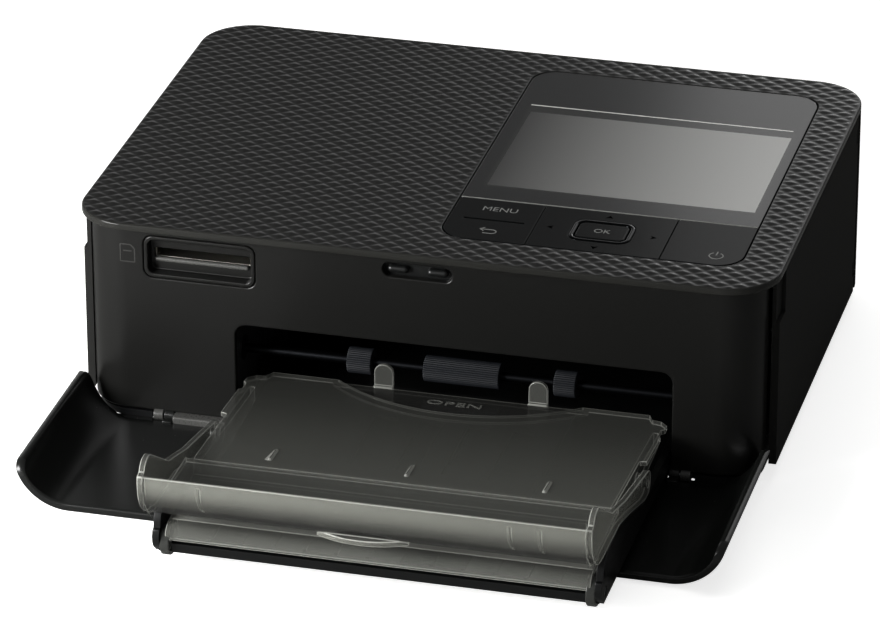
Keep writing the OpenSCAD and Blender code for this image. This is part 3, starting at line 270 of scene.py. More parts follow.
def edge_profile(low, high, low_r, high_r, steps=4):
    """Steps of (inset, height) up a wall that is rounded into both of its faces."""
    turn = np.radians(np.linspace(0, 90, steps + 1))
    foot = np.column_stack([low_r * (1 - np.sin(turn)), low + low_r * (1 - np.cos(turn))])
    head = np.column_stack([high_r * (1 - np.cos(turn)), high - high_r * (1 - np.sin(turn))])
    return np.concatenate([foot, head])


def plate(loops, profile, filled=(True, True)):
    """A plate with openings: each loop, anticlockwise outside and clockwise round an opening, is
    drawn once for each (inset, height) step, quads join the rings, and the planes of the first
    and last rings are filled between the loops. Returns points and faces."""
    points, faces, ends, start = [], [], ([], []), 0
    for loop in loops:
        ring = loop if callable(loop) else (lambda depth, height, loop=loop: inset(loop, depth))
        grid = [np.insert(ring(d, h), 2, h, axis=1) for d, h in profile]
        index = start + np.arange(len(grid) * len(grid[0])).reshape(len(grid), -1)
        faces += quads(index, around=True)
        points += grid
        start += index.size
        ends[0].append(index[0])
        ends[1].append(index[-1])
    points = np.concatenate(points)
    for rings, wanted, turn in zip(ends, filled, (-1, 1)):
        if not wanted:
            continue
        flat = np.concatenate(rings)
        three = np.array(tessellate_polygon([[Vector(points[i]) for i in r] for r in rings]))
        corner = points[flat[three]][:, :, :2]
        one, two = corner[:, 1] - corner[:, 0], corner[:, 2] - corner[:, 0]
        wrong = turn * (one[:, 0] * two[:, 1] - one[:, 1] * two[:, 0]) < 0
        three[wrong] = three[wrong][:, ::-1]
        faces += flat[three].tolist()
    return points, faces


def quads(index, around=False):
    """Faces between the neighbours of a grid of point numbers, closed round its rows if asked."""
    if around:
        index = np.hstack([index, index[:, :1]])
    return np.stack([index[:-1, :-1], index[:-1, 1:], index[1:, 1:], index[1:, :-1]],
                    -1).reshape(-1, 4).tolist()


def facing(shape, axes):
    """Turns a shape drawn in (a, b, height) to stand along X or Y. ALONG_Y faces the front."""
    points, faces = shape
    points = np.asarray(points, float)[:, list(axes)] * (1, -1 if axes == ALONG_Y else 1, 1)
    return points, faces


def moved(shape, by):
    """The shape carried by (x, y, z)."""
    return shape[0] + np.array(by, float), shape[1]


def piece(name, shapes, made, body=None, replaces=(), sharp=40, weigh=True):
    """One object from shapes in body millimetres: their points are joined, doubles merged, and
    edges sharper than the angle kept. It rides on its body and stands for the nodes given."""
    points, faces, start = [], [], 0
    for corner, face in shapes:
        points.append(np.asarray(corner, float))
        faces += [[i + start for i in f] for f in face]
        start += len(corner)
    points = (np.concatenate(points) + (0, home_y, 0)) / 1000
    mesh = bpy.data.meshes.new(name)
    mesh.from_pydata(points.tolist(), [], faces)
    joined = bmesh.new()
    joined.from_mesh(mesh)
    bmesh.ops.remove_doubles(joined, verts=joined.verts, dist=2e-6)
    joined.to_mesh(mesh)
    joined.free()
    mesh.polygons.foreach_set("use_smooth", np.ones(len(mesh.polygons), bool))
    mesh.set_sharp_from_angle(angle=math.radians(sharp))
    mesh.materials.append(made)
    made_object = bpy.data.objects.new(name, mesh)
    bpy.context.scene.collection.objects.link(made_object)
    if weigh:
        made_object.modifiers.new("face weighted", "WEIGHTED_NORMAL").keep_sharp = True
    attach(made_object, body or home)
    if replaces:
        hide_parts(*replaces)


def outside(x, y, low, high, radius):
    """Signed distance of points from a rounded rectangle, and the direction it grows in: past a
    corner's middle it is the distance to that middle less the radius, elsewhere to a side."""
    side = np.stack([x - (low[0] + high[0]) / 2, y - (low[1] + high[1]) / 2], -1)
    q = np.abs(side) - (np.array(high) - np.array(low)) / 2 + radius
    past = np.maximum(q, 0)
    length = np.linalg.norm(past, axis=-1)
    distance = length + np.minimum(q.max(-1), 0) - radius
    straight = np.where(q[..., :1] > q[..., 1:], [1.0, 0.0], [0.0, 1.0])
    way = np.where(length[..., None] > 1e-9, past / np.maximum(length, 1e-9)[..., None], straight)
    return distance, way * np.sign(side)


def pips(x, y):
    """Height of the lattice: two triangle waves run along its diagonals, and the lower of them
    makes low pyramids with rhombic feet on a centred lattice."""
    u, v = x / pip_across + y / pip_along, x / pip_across - y / pip_along
    return pip_height * np.minimum(np.abs(2 * (u % 1) - 1), np.abs(2 * (v % 1) - 1))


half_w, half_d = body_w / 2, body_d / 2
glass_x0, glass_x1 = window_x - window_w / 2, window_x + window_w / 2
glass_y0, glass_y1 = window_y - window_d / 2, window_y + window_d / 2
lip = window_gap + opening_r
cover_loop = rounded(-half_w, -half_d, half_w, half_d, corner_r, 24)
opening_loop = rounded(glass_x0 - window_gap, glass_y0 - window_gap, glass_x1 + window_gap,
                       glass_y1 + window_gap, window_r, 24)[::-1]
outer_rim = plate([cover_loop], edge_profile(rim_z, body_h, foot_r, rim_r, 6), (False, False))
inner_rim = plate([opening_loop], edge_profile(rim_z, body_h, opening_foot_r, opening_r),
                  (False, False))
under = plate([inset(cover_loop, foot_r), inset(opening_loop, opening_foot_r)],
              [(0, rim_z), (0, rim_z + 0.01)], (True, False))

across, along = np.meshgrid(np.arange(-half_w, half_w + 0.3, pip_across / 12),
                            np.arange(-half_d, half_d + 0.3, pip_along / 10))


def far(x, y):
    """Distance past the nearer border of the patterned face, and the direction to leave it."""
    rim, rim_way = outside(x, y, (rim_r - half_w, rim_r - half_d),
                           (half_w - rim_r, half_d - rim_r), corner_r - rim_r)
    hole, hole_way = outside(x, y, (glass_x0 - lip, glass_y0 - lip),
                             (glass_x1 + lip, glass_y1 + lip), window_r + lip - window_gap)
    nearer = rim > -hole
    return np.where(nearer, rim, -hole), np.where(nearer[..., None], rim_way, -hole_way)


# Cells whose middle lies within the border are kept. A point with kept cells on some of its
# sides only is slid on to the border, and the pips fade out before they reach it.
kept = far((across[:-1, :-1] + across[1:, 1:]) / 2, (along[:-1, :-1] + along[1:, 1:]) / 2)[0] < 0
ringed = np.pad(kept, 1)
sides = np.stack([ringed[:-1, :-1], ringed[:-1, 1:], ringed[1:, 1:], ringed[1:, :-1]])
bordering = sides.any(0)
edge_points = bordering & ~sides.all(0)
apart, way = far(across, along)
face_x = np.where(edge_points, across - apart * way[..., 0], across)
face_y = np.where(edge_points, along - apart * way[..., 1], along)
fade = np.clip(-far(face_x, face_y)[0] / fade_w, 0, 1)
face_z = body_h + (pips(face_x, face_y) - pip_sink) * fade * (3 - 2 * fade) * fade
number = np.full(across.shape, -1)
number[bordering] = np.arange(bordering.sum())
pattern_faces = np.array(quads(number))[kept.ravel()]
pattern = (np.stack([face_x, face_y, face_z], -1)[bordering], pattern_faces.tolist())

# Satin ABS: near black, with a tight grey sheen that catches the back slopes of the pips
cover_plastic, tree, shader = material("satin ABS", "#1a1a19", IOR=1.5, Specular_IOR_Level=0.25)
grain(tree, shader, 0.3, 0.004, roughness=0.3)
piece("top_cover_skin", [inner_rim, under, pattern], cover_plastic, replaces=["top_cover"],
      weigh=False, sharp=60)

# Softly polished ABS: a warm black that greys where a lamp is near
front_plastic, tree, shader = material("polished ABS", "#131312", IOR=1.5, Specular_IOR_Level=0.3)
grain(tree, shader, 0.6, 0.002, spread=0.03, roughness=0.3)

# The same ABS along the rim, made paler as a painted highlight, with a tighter gloss that takes a thin
# line of light
rim_highlight_plastic, tree, shader = material("painted highlight ABS edge", "#242422", IOR=1.5, Specular_IOR_Level=0.25)
grain(tree, shader, 0.6, 0.002, spread=0.03, roughness=0.2)
piece("top_cover_rim", [outer_rim], rim_highlight_plastic, weigh=False, sharp=60)


# ---- Front panel -------------------------------------------------------------
# One moulded ABS panel with a soft gloss, bent round both front corners. Its paper mouth, card
# slot and latch slot have rounded lips; it hooks on the base's rim by small lugs inside.

panel_y, panel_low, panel_high, panel_t = -64.0, 4.3, 55.4, 2.0
face_r, back_r = 0.45, 0.3              # rounded edges of its face and back
mouth_left, mouth_right, mouth_top, mouth_r = -48.0, 66.0, 31.4, 3.0
bend_x, bend_y, bend_r, bend_end = 77.0, -52.4, 11.6, -10.9
card_hole = rounded(-72.0, 42.15, -42.4, 53.85, 2.5)[::-1]
latch_hole = rounded(-9.0, 49.75, 9.0, 53.65, 1.9)[::-1]


def lipped_mouth(depth, height):
    """The panel's outline with the paper mouth cut up from its lower edge, let in by depth."""
    low, high = panel_low + depth, panel_high - depth
    left, right, top = mouth_left - depth, mouth_right + depth, mouth_top + depth
    r = mouth_r + depth
    return np.array([(-bend_x, low), (left, low), *arc((left + r, top - r), r, 180, 90, 8),
                     *arc((right - r, top - r), r, 90, 0, 8), (right, low), (bend_x, low),
                     (bend_x, high), (-bend_x, high)])


panel_profile = edge_profile(-panel_t, 0, back_r, face_r)
flat_panel = moved(facing(plate([lipped_mouth, card_hole, latch_hole], panel_profile), ALONG_Y),
                   (0, panel_y, 0))
section = rounded(-panel_t, panel_low, 0, panel_high, (face_r, face_r, back_r, back_r), 4)


def bend(side):
    """The panel's section carried round a front corner: depth becomes a radius of the bend."""
    turn = np.radians(np.linspace(-90, bend_end, 19))[:, None]
    radius = bend_r + section[:, 0]
    grid = np.stack([side * (bend_x + radius * np.cos(turn)), bend_y + radius * np.sin(turn),
                     np.broadcast_to(section[:, 1], (len(turn), len(section)))], -1)
    index = np.arange(grid.shape[0] * grid.shape[1]).reshape(grid.shape[:2])
    faces = quads(index, around=True) + [index[-1].tolist()]
    return grid.reshape(-1, 3), [f[::-1] for f in faces] if side > 0 else faces


piece("front_panel_skin", [flat_panel, bend(-1), bend(1)], front_plastic, replaces=["front_panel"])


# ---- Side and rear panels, ink door ------------------------------------------
# Grained ABS covers that stand on the base's rim under the top cover. The right one holds the
# ink door, which swings on two steel pins; vents are cut through the left and the rear.

# Grained ABS: a dull black that takes almost no reflection
side_plastic, tree, shader = material("matt grained ABS", "#222221", IOR=1.2, Specular_IOR_Level=0.2)
grain(tree, shader, 0.4, 0.008, roughness=0.6)
for name in ("right_side_panel", "ink_door"):
    finish_node(name, side_plastic, 0.3, 3)
for name in ("left_side_panel", "rear_panel"):
    finish_node(name, side_plastic, 0.3, 3, pierced=True)

# Ground stainless pin: bright, with a fine even grain
pin_steel, tree, shader = material("ground steel", "#828486", Metallic=1)
grain(tree, shader, 0.3, 0.002, roughness=0.25)
for name in ("ink_door_pins", "door_hinge_pins", "inner_lid_pins", "head_pivot", "gear_posts"):
    finish_node(name, pin_steel, 0.1)
finish_node("dc_inlet", base_plastic, 0.15)

# Nickel-plated stampings: a warm pale metal with a soft shine
socket_metal, tree, shader = material("nickel plate", "#b9b6ae", Metallic=1)
grain(tree, shader, 0.5, 0.004, roughness=0.3)
finish_node("data_port", socket_metal, 0.1)
finish_node("card_connector", socket_metal, 0.15)


# ---- Card slot and door catch ------------------------------------------------
# A black ABS bezel snaps into the panel from behind round the card slot. The catch is a moulded
# bar behind its slot, with two polished nubs that the door's hooks spring over.

finish_node("card_slot_bezel", front_plastic, 0.35, 3)

# Smooth ABS of the catch: black, with a small hard sheen
catch_plastic, tree, shader = material("catch ABS", "#101111", IOR=1.5, Specular_IOR_Level=0.4)
grain(tree, shader, 0.4, 0.003, roughness=0.33)

# Grey satin ABS, paler than the black it stands for: a painted highlight on the card rail, the door's
# hinge bar and the fixed knuckles
highlight_grey, tree, shader = material("grey satin ABS", "#484846", IOR=1.5)
grain(tree, shader, 0.5, 0.003, roughness=0.28)

catch_z, nub_w = 51.7, 5.5


def capsule(x0, x1, y, z, radius, steps=8):
    """A round bar along X: circles whose radius follows a half circle at each round end."""
    turn = np.radians(np.linspace(0, 90, steps + 1))
    rise = radius * (1 - np.cos(turn))
    reach = np.concatenate([x0 + rise, x1 - rise[::-1]])
    size = np.maximum(np.concatenate([np.sin(turn), np.sin(turn[::-1])]) * radius, 1e-4)
    ring = arc((0, 0), 1, 0, 360, 20)[:-1]
    grid = np.stack([np.broadcast_to(reach[:, None], (len(reach), len(ring))),
                     y + size[:, None] * ring[:, 0], z + size[:, None] * ring[:, 1]], -1)
    index = np.arange(grid.size // 3).reshape(grid.shape[:2])
    return grid.reshape(-1, 3), quads(index, around=True)


catch_plate = plate([rounded(-10.5, 48.3, 10.5, 55.1, 3)], edge_profile(0, 2, 0.3, 0.3))
back_plate = moved(facing(catch_plate, ALONG_Y), (0, panel_y + 4, 0))
piece("catch_plate", [back_plate], catch_plastic, replaces=["door_catch"])
nubs = [capsule(x, x + nub_w, panel_y + 1.3, catch_z, 1.05) for x in (-7.9, 2.4)]
piece("catch_nubs", nubs, catch_plastic)
card_rail = capsule(-69.6, -44.8, panel_y + 2.7, 46.45, 0.62)
piece("card_rail", [card_rail], highlight_grey)


# ---- Window and display ------------------------------------------------------
# A sheet of clear acrylic, printed black on its back but for the display's window. It lies
# flush in the cover on a ledge, glued down, with the liquid-crystal display under it.

keys_d, half_gap = 24.3, 0.125          # the keys' depth, and half the gap beside each
keys_y = glass_y0 + keys_d
display_low, display_high = (7.2, -20.3), (77.4, 27.5)
window_loop = rounded(glass_x0, keys_y + half_gap, glass_x1, glass_y1,
                      (0.4, window_r, window_r, 0.4), 24)


def within(tree, x, y, low, high):
    """One inside a rectangle of body millimetres and nothing outside it: the distances from its
    middle are compared with its half sizes."""
    inside = None
    for source, a, b in ((x, low[0], high[0]), (y, low[1] + home_y, high[1] + home_y)):
        off = node(tree, "ShaderNodeMath", [(source, 0)], operation="SUBTRACT")
        off.inputs[1].default_value = (a + b) / 2000
        size = node(tree, "ShaderNodeMath", [(off.outputs[0], 0)], operation="ABSOLUTE")
        less = node(tree, "ShaderNodeMath", [(size.outputs[0], 0)], operation="LESS_THAN")
        less.inputs[1].default_value = (b - a) / 2000
        inside = less if inside is None else node(
            tree, "ShaderNodeMath", [(inside.outputs[0], 0), (less.outputs[0], 1)],
            operation="MULTIPLY")
    return inside.outputs[0]


# Acrylic over a black mask: a clean gloss that is deep black round the grey display, with painted
# light in the display and along the front edge
masked_acrylic, tree, shader = material("masked acrylic", IOR=1.49)
place = node(tree, "ShaderNodeTexCoord")
split = node(tree, "ShaderNodeSeparateXYZ", [(place.outputs["Object"], "Vector")])
# The display's grey rises from dark at the left to pale at the right: a painted reflection
painted_glare_rightward = node(tree, "ShaderNodeMapRange", [(split.outputs["X"], "Value")],
                 From_Min=0.005, From_Max=0.078)
grey = node(tree, "ShaderNodeMix", [(painted_glare_rightward.outputs["Result"], "Factor")], data_type="RGBA")
grey.inputs[6].default_value, grey.inputs[7].default_value = linear("#212120"), linear("#b4b4b1")
tone = None
# On the black mask: the display's seal frame, the display, a near-white line along the frame's back
# edge, and a pale line along the window's front edge that is a painted highlight
for low, high, colour in (((6.3, -21.2), (78.3, 31.7), "#191a18"),
                          (display_low, display_high, grey),
                          ((6.3, 31.7), (77.0, 32.2), "#f4f4ee"),
                          ((2, keys_y), (83, keys_y + 0.4), "#7c7d79")):
    mask = within(tree, split.outputs["X"], split.outputs["Y"], low, high)
    mix = node(tree, "ShaderNodeMix", [(mask, "Factor")], data_type="RGBA")
    mix.inputs[6].default_value = linear("#050606")
    if tone:
        tree.links.new(tone, mix.inputs[6])
    if colour is grey:
        tree.links.new(grey.outputs[2], mix.inputs[7])
    else:
        mix.inputs[7].default_value = linear(colour)
    tone = mix.outputs[2]
tree.links.new(tone, shader.inputs["Base Color"])
display = within(tree, split.outputs["X"], split.outputs["Y"], display_low, display_high)
haze = node(tree, "ShaderNodeMapRange", [(display, "Value")], To_Min=0.22, To_Max=0.28)
tree.links.new(haze.outputs["Result"], shader.inputs["Roughness"])
piece("window_sheet", [plate([window_loop], edge_profile(rim_z, body_h, 0.1, 0.3))],
      masked_acrylic, replaces=["control_window"])

# Display module: a pressed tin frame
finish_node("lcd_module", socket_metal, 0.1)


# ---- Keys --------------------------------------------------------------------
# Four glossy ABS caps fill the front of the opening: a rocker, a plate that tilts four ways, the
# round-cornered one in its bright frame, and the power key. They press switches by their stems.

menu_w, power_w, key_t, key_top = 22.6, 20.5, 1.4, body_h
side_gap, key_r = 0.05, 0.3             # gap at the opening's sides, and the caps' corners
switch_top, ink_t, line_w = 54.5, 0.03, 0.3
menu_x1, power_x0 = glass_x0 + menu_w, glass_x1 - power_w
key_mid_y = glass_y0 + keys_d / 2
nav_x = (menu_x1 + power_x0) / 2
back_y = keys_y - half_gap
key_profile = edge_profile(key_top - key_t, key_top, 0.1, 0.16)

# Key caps in glossy ABS: as black as the window, a shade duller
key_plastic, tree, shader = material("glossy key ABS", "#0d0e0e", IOR=1.5, Specular_IOR_Level=0.07)
grain(tree, shader, 0.5, 0.001, spread=0.03, roughness=0.2)

# Pad printing: thin grey ink, matt against the gloss
ink, tree, shader = material("grey pad printing ink", "#7c7d7a")
grain(tree, shader, 0.2, 0.002, roughness=0.6)
# The same ink in black: the pointers show only as duller spots on the gloss
pit, tree, shader = material("black pad printing ink", "#020202", Specular_IOR_Level=0)
grain(tree, shader, 0.2, 0.002, roughness=0.5)


def lettering(words, size, thick=ink_t):
    """Letters as a thin flat shape about the origin, from the built-in font."""
    curve = bpy.data.curves.new("letters", "FONT")
    curve.body, curve.size, curve.extrude = words, size, thick / 2
    curve.align_x, curve.align_y = "CENTER", "CENTER"
    made = bpy.data.objects.new("letters", curve)
    mesh = bpy.data.meshes.new_from_object(made)
    points = np.array([v.co for v in mesh.vertices])
    faces = [list(f.vertices) for f in mesh.polygons]
    bpy.data.objects.remove(made)
    return points, faces


def stroke(path, width=line_w):
    """A line of the given width along a path: the path's two sides, half the width away along its
    normals, form one loop."""
    path = np.array(path, float)
    run = np.gradient(path, axis=0)
    side = np.column_stack([-run[:, 1], run[:, 0]]) / np.linalg.norm(run, axis=1)[:, None]
    loop = np.concatenate([path - side * width / 2, (path + side * width / 2)[::-1]])
    return plate([loop], [(0, 0), (0, ink_t)])


def mark(shape, x, y, z=key_top):
    """A printed mark laid on a surface at a height."""
    return moved(shape, (x, y, z))


def stem(x, y, radius):
    """A key's stem, from its cap down to the switch."""
    ring = arc((0, 0), radius, 0, 360, 16)[:-1]
    return moved(plate([ring], [(0, switch_top), (0, key_top - key_t + 0.1)]), (x, y, 0))


groove_half = 0.35
groove = rounded(glass_x0 + 3.8, key_mid_y - groove_half, menu_x1 - 2.8, key_mid_y + groove_half,
                 0.3, 4)
menu_loop = rounded(glass_x0 + side_gap, glass_y0, menu_x1 - half_gap, back_y,
                    (key_r, key_r, key_r, window_r), 16)
menu_cap = plate([menu_loop, groove[::-1]], key_profile)
groove_floor = plate([inset(groove, -0.05)], [(0, key_top - 0.6), (0, key_top - 0.35)])
piece("menu_cap", [menu_cap, groove_floor, stem(glass_x0 + 12, key_mid_y - 6, 1.3),
                   stem(glass_x0 + 12, key_mid_y + 6, 1.3)], key_plastic, "menu_key",
      ["menu_key"])
back_arrow = [stroke([(-1.9, 0.75), (1.2, 0.75)]), stroke(arc((1.2, -0.35), 1.1, 90, -90, 12)),
              stroke([(1.2, -1.45), (-1.0, -1.45)]),
              stroke([(-1.0, 1.75), (-2.1, 0.75), (-1.0, -0.2)])]
menu_print = [mark(lettering("MENU", 3.4), 14.3, -34.7)]
menu_print += [mark(shape, 14.1, -47.6) for shape in back_arrow]
piece("menu_marks", menu_print, ink, "menu_key", weigh=False)

ok_w, ok_d, ok_r, ok_frame = 13.0, 9.4, 1.8, 1.5


def ok_loop(grow):
    """The outline of the OK key, let out by grow."""
    return rounded(nav_x - ok_w / 2 - grow, key_mid_y - ok_d / 2 - grow, nav_x + ok_w / 2 + grow,
                   key_mid_y + ok_d / 2 + grow, ok_r + grow, 12)


nav_loop = rounded(menu_x1 + half_gap, glass_y0, power_x0 - half_gap, back_y, key_r, 6)
piece("navigation_plate", [plate([nav_loop, ok_loop(ok_frame + 0.1)[::-1]], key_profile),
                           stem(nav_x - 12, key_mid_y, 1.2), stem(nav_x + 12, key_mid_y, 1.2)],
      key_plastic, "navigation_key", ["navigation_key"])
pointer = np.array([(-0.95, -0.8), (0.0, -0.35), (0.95, -0.8), (0.0, 0.85)])
ways = []
for turn, x, y in ((0, nav_x, -32.1), (180, nav_x, -50.7), (90, 28.9, -41.4), (-90, 55.7, -41.4)):
    c, s = math.cos(math.radians(turn)), math.sin(math.radians(turn))
    ways.append(mark(plate([pointer @ np.array([(c, s), (-s, c)])], [(0, 0), (0, ink_t)]), x, y))
piece("navigation_marks", ways, pit, "navigation_key", weigh=False)

ok_cap = plate([ok_loop(0)], edge_profile(key_top - key_t, key_top + 0.1, 0.1, 0.5))
piece("ok_cap", [ok_cap, stem(nav_x, key_mid_y, 1.5)], key_plastic, "ok_key", ["ok_key"])
piece("ok_mark", [mark(lettering("OK", 3.0), nav_x, key_mid_y, key_top + 0.1)], ink, "ok_key",
      weigh=False)

# Dark chrome on ABS: a mirror that is black until it catches a lamp
dark_chrome, tree, shader = material("dark chrome plate", "#1a1b1c", Metallic=1)
grain(tree, shader, 0.8, 0.001, spread=0.02, roughness=0.1)
ring_profile = edge_profile(key_top - key_t, key_top + 0.2, 0.1, 0.55, 5)
piece("ok_frame", [plate([ok_loop(ok_frame), ok_loop(0.25)[::-1]], ring_profile)], dark_chrome,
      "navigation_key", ["ok_ring"])

power_loop = rounded(power_x0 + half_gap, glass_y0, glass_x1 - side_gap, back_y,
                     (window_r, key_r, key_r, key_r), 16)
piece("power_cap", [plate([power_loop], key_profile), stem(power_x0 + 12, key_mid_y, 1.5)],
      key_plastic, "power_key", ["power_key"])
power_icon = [stroke(arc((0, 0), 1.75, 120, 420, 40), 0.32), stroke([(0, 0.4), (0, 2.4)], 0.32)]
piece("power_mark", [mark(shape, 73.2, -47.9) for shape in power_icon], ink, "power_key",
      weigh=False)

# Card symbol beside the slot: an outline a shade paler than the panel, only just visible
card_path = [(-1.9, -2.4), (1.9, -2.4), (1.9, 1.3), (0.8, 2.4), (-1.9, 2.4)]
card_icon = [stroke([card_path[i], card_path[(i + 1) % 5]]) for i in range(5)]
card_icon.append(stroke([(-1.1, 0.6), (1.1, 0.6)]))
pressed, tree, shader = material("pressed mark", "#2d2d2b")
grain(tree, shader, 0.2, 0.002, roughness=0.4)
piece("card_mark", [moved(facing(shape, ALONG_Y), (-76.2, panel_y, 48.4)) for shape in card_icon],
      pressed, weigh=False)

# Circuit boards: green solder mask over fine paler tracks
board_green, tree, shader = material("solder mask", IOR=1.55)
place = node(tree, "ShaderNodeTexCoord")
tracks = node(tree, "ShaderNodeTexBrick", [(place.outputs["Object"], "Vector")], Scale=160,
              Color1=linear("#1b5a38"), Color2=linear("#174f31"), Mortar=linear("#2f7a50"))
tree.links.new(tracks.outputs["Color"], shader.inputs["Base Color"])
shader.inputs["Roughness"].default_value = 0.35
for name in ("key_board", "main_board"):
    finish_node(name, board_green, 0)
finish_node("wireless_module", socket_metal, 0.1)
finish_node("key_gimbal", socket_metal, 0)


# ---- Front door --------------------------------------------------------------
# A glossy ABS flap that wraps the whole front when shut, with its ends curled to follow the
# body's corners. It lies open on two knuckles with steel pins, beside the fixed ones.

hinge_y, hinge_z, door_t = -63.6, 3.2, 2.2
door_back, door_edge, edge_r = -66.3, -115.8, 4     # the free edge's corners are this round
curl_top, curl_z, tip = 12.4, 14.4, 0.5
knuckle_left, knuckle_right, knuckle_r, knuckle_w, pin_r = -67.4, 68.5, 1.6, 2.6, 0.8


def door_ring(depth, height):
    """The door's section at a distance forward: two concentric arcs joined by a flat, their ends
    rounded, and lower near the free edge, where the corner is a quarter circle."""
    fall = max(0.0, edge_r - (-door_edge - height))
    top = curl_top - tip - edge_r + math.sqrt(max(edge_r ** 2 - min(fall, edge_r) ** 2, 0))
    outer = math.degrees(math.asin((curl_z - top) / corner_r))
    inner = math.degrees(math.asin((curl_z - top) / (corner_r - door_t)))
    middle = half_w - corner_r
    left_out = arc((-middle, curl_z), corner_r, 180 + outer, 270, 16)
    left_in = arc((-middle, curl_z), corner_r - door_t, 270, 180 + inner, 16)
    share = np.linspace(0, 1, 7)[1:-1, None]
    cap = left_in[-1] * (1 - share) + left_out[0] * share + np.column_stack(
        [0 * share, tip * np.sin(np.pi * share)])
    mirror = np.array([-1, 1])
    return inset(np.concatenate([left_out, left_out[::-1] * mirror, cap[::-1] * mirror,
                                 left_in[::-1] * mirror, left_in, cap]), depth)


def block(low, high, radius=0.25):
    """A box with rounded edges."""
    return plate([rounded(low[0], low[1], high[0], high[1], radius, 3)],
                 edge_profile(low[2], high[2], radius, radius, 3))


def knuckle(x):
    """A hinge knuckle along X, bored for its pin."""
    rings = [arc((hinge_y, hinge_z), knuckle_r, 0, 360, 28)[:-1],
             arc((hinge_y, hinge_z), pin_r, 0, 360, 20)[:-1][::-1]]
    return moved(facing(plate(rings, edge_profile(0, knuckle_w, 0.2, 0.2, 3)), ALONG_X), (x, 0, 0))


# The flap's sections are closer where its corners round, and its free edge has a wider radius
back_edge_r, free_edge_r = 0.2, 0.7
round_start = -door_edge - edge_r
steps = [(back_edge_r, -door_back), (0, back_edge_r - door_back), (0, round_start)]
steps += [(0, round_start + (edge_r - free_edge_r) * s) for s in (0.3, 0.55, 0.75, 0.9)]
steps += edge_profile(0, -door_edge, 0, free_edge_r)[5:].tolist()
flap, flap_faces = facing(plate([door_ring], steps), ALONG_Y)

# Past the panel's bends its back edge follows the body's corners, less and less up the curl
past = np.maximum(np.abs(flap[:, 0]) - bend_x, 0)
round_r = bend_r + 0.7 + 1.6 * np.clip(1 - past / 4, 0, 1)
follow = bend_y - np.sqrt(np.maximum(round_r ** 2 - past ** 2, 6))
low_share = np.clip((curl_top - flap[:, 2]) / 9, 0, 1) ** 0.3
at_back = flap[:, 1] > door_back - 1
flap[:, 1] += np.where(at_back, np.maximum(follow - door_back, 0) * low_share, 0)
door_shapes = [(flap, flap_faces)]
for x in (knuckle_left + 0.2, knuckle_right - 0.2 - knuckle_w):
    door_shapes += [knuckle(x), block((x, door_back - 1, 0.9), (x + knuckle_w, hinge_y - 1.2, 3.1))]

# Door ABS from a polished mould: a black gloss that greys at a low angle
door_plastic, tree, shader = material("mirror moulded ABS", "#131413", IOR=1.5, Specular_IOR_Level=0.4)
grain(tree, shader, 1.2, 0.002, spread=0.03, roughness=0.26)
piece("front_door_flap", door_shapes, door_plastic, "front_door", ["front_door"])

bar = block((knuckle_left + 2.8, door_back - 0.4, 2.0), (-48.8, hinge_y + 0.6, 4.3), 0.5)
piece("door_hinge_bar", [bar], highlight_grey, "front_door")

fixed = []
for x in (knuckle_left - 0.1 - knuckle_w, knuckle_right + 0.1):
    fixed += [knuckle(x), block((x, hinge_y + 1.2, 3.2), (x + knuckle_w, panel_y + 2, 4.9))]
piece("fixed_knuckles", fixed, highlight_grey)


# ---- Chassis -----------------------------------------------------------------
# Two pressed steel plates stand on the base, tied by bridges, with acetal bearings pushed in
# for the shafts. A bracket outside the left plate carries both motors and the gears.

# Electro-galvanised sheet: pale grey with a faint spangle
sheet_steel, tree, shader = material("galvanised sheet", "#9fa2a5", Metallic=1)
place = node(tree, "ShaderNodeTexCoord")
spangle = node(tree, "ShaderNodeTexVoronoi", [(place.outputs["Object"], "Vector")], Scale=350)
ramp = node(tree, "ShaderNodeMapRange", [(spangle.outputs["Distance"], "Value")],
            To_Min=0.3, To_Max=0.5)
tree.links.new(ramp.outputs["Result"], shader.inputs["Roughness"])
for name in ("chassis_left", "chassis_right", "chassis_bridges", "drive_bracket", "head_bracket"):
    finish_node(name, sheet_steel, 0.12)

# Black acetal: waxy, with a dull shine
acetal_black, tree, shader = material("black acetal", "#131313", IOR=1.48)
grain(tree, shader, 0.5, 0.003, roughness=0.4)
for name in ("shaft_bearings", "paper_guide"):
    finish_node(name, acetal_black, 0.12)
finish_node("lift_plate", acetal_black, 0.12, pierced=True)


# ---- Paper drive -------------------------------------------------------------
# Ribbed rubber rollers on a ground shaft draw the paper out of the cassette. A train of acetal
# gears turns it and the steel capstan from a small motor with a brass pinion.

pickup = (-52.0, 19.2)
shaft_r, roller_r, ribs, rib_d = 1.25, 3.4, 34, 0.16


def ribbed(depth):
    """The roller's outline: a circle whose radius falls by the rib depth between its ribs."""
    turn = np.radians(np.arange(ribs * 6) * 360 / (ribs * 6))
    radius = roller_r - depth - rib_d * (0.5 - 0.5 * np.cos(ribs * turn)) ** 2
    return np.array(pickup) + radius[:, None] * np.column_stack([np.cos(turn), np.sin(turn)])


# Moulded EPDM rubber: a dark slate blue that is quite matt
roller_rubber, tree, shader = material("EPDM rubber", "#0b0e13", IOR=1.5, Specular_IOR_Level=0.3)
grain(tree, shader, 0.4, 0.01, roughness=0.6)
bore = arc(pickup, shaft_r, 0, 360, 24)[:-1][::-1]
rollers = []
for low, high in ((-21.2, -14.7), (-1, 19), (33.2, 39)):
    wall = plate([lambda d, h: ribbed(d), lambda d, h: inset(bore, min(d, 0.1))],
                 edge_profile(0, high - low, 0.35, 0.35, 3))
    rollers.append(moved(facing(wall, ALONG_X), (low, 0, 0)))
piece("ribbed_rollers", rollers, roller_rubber, "pickup_drive", ["pickup_rollers"],
      sharp=50)

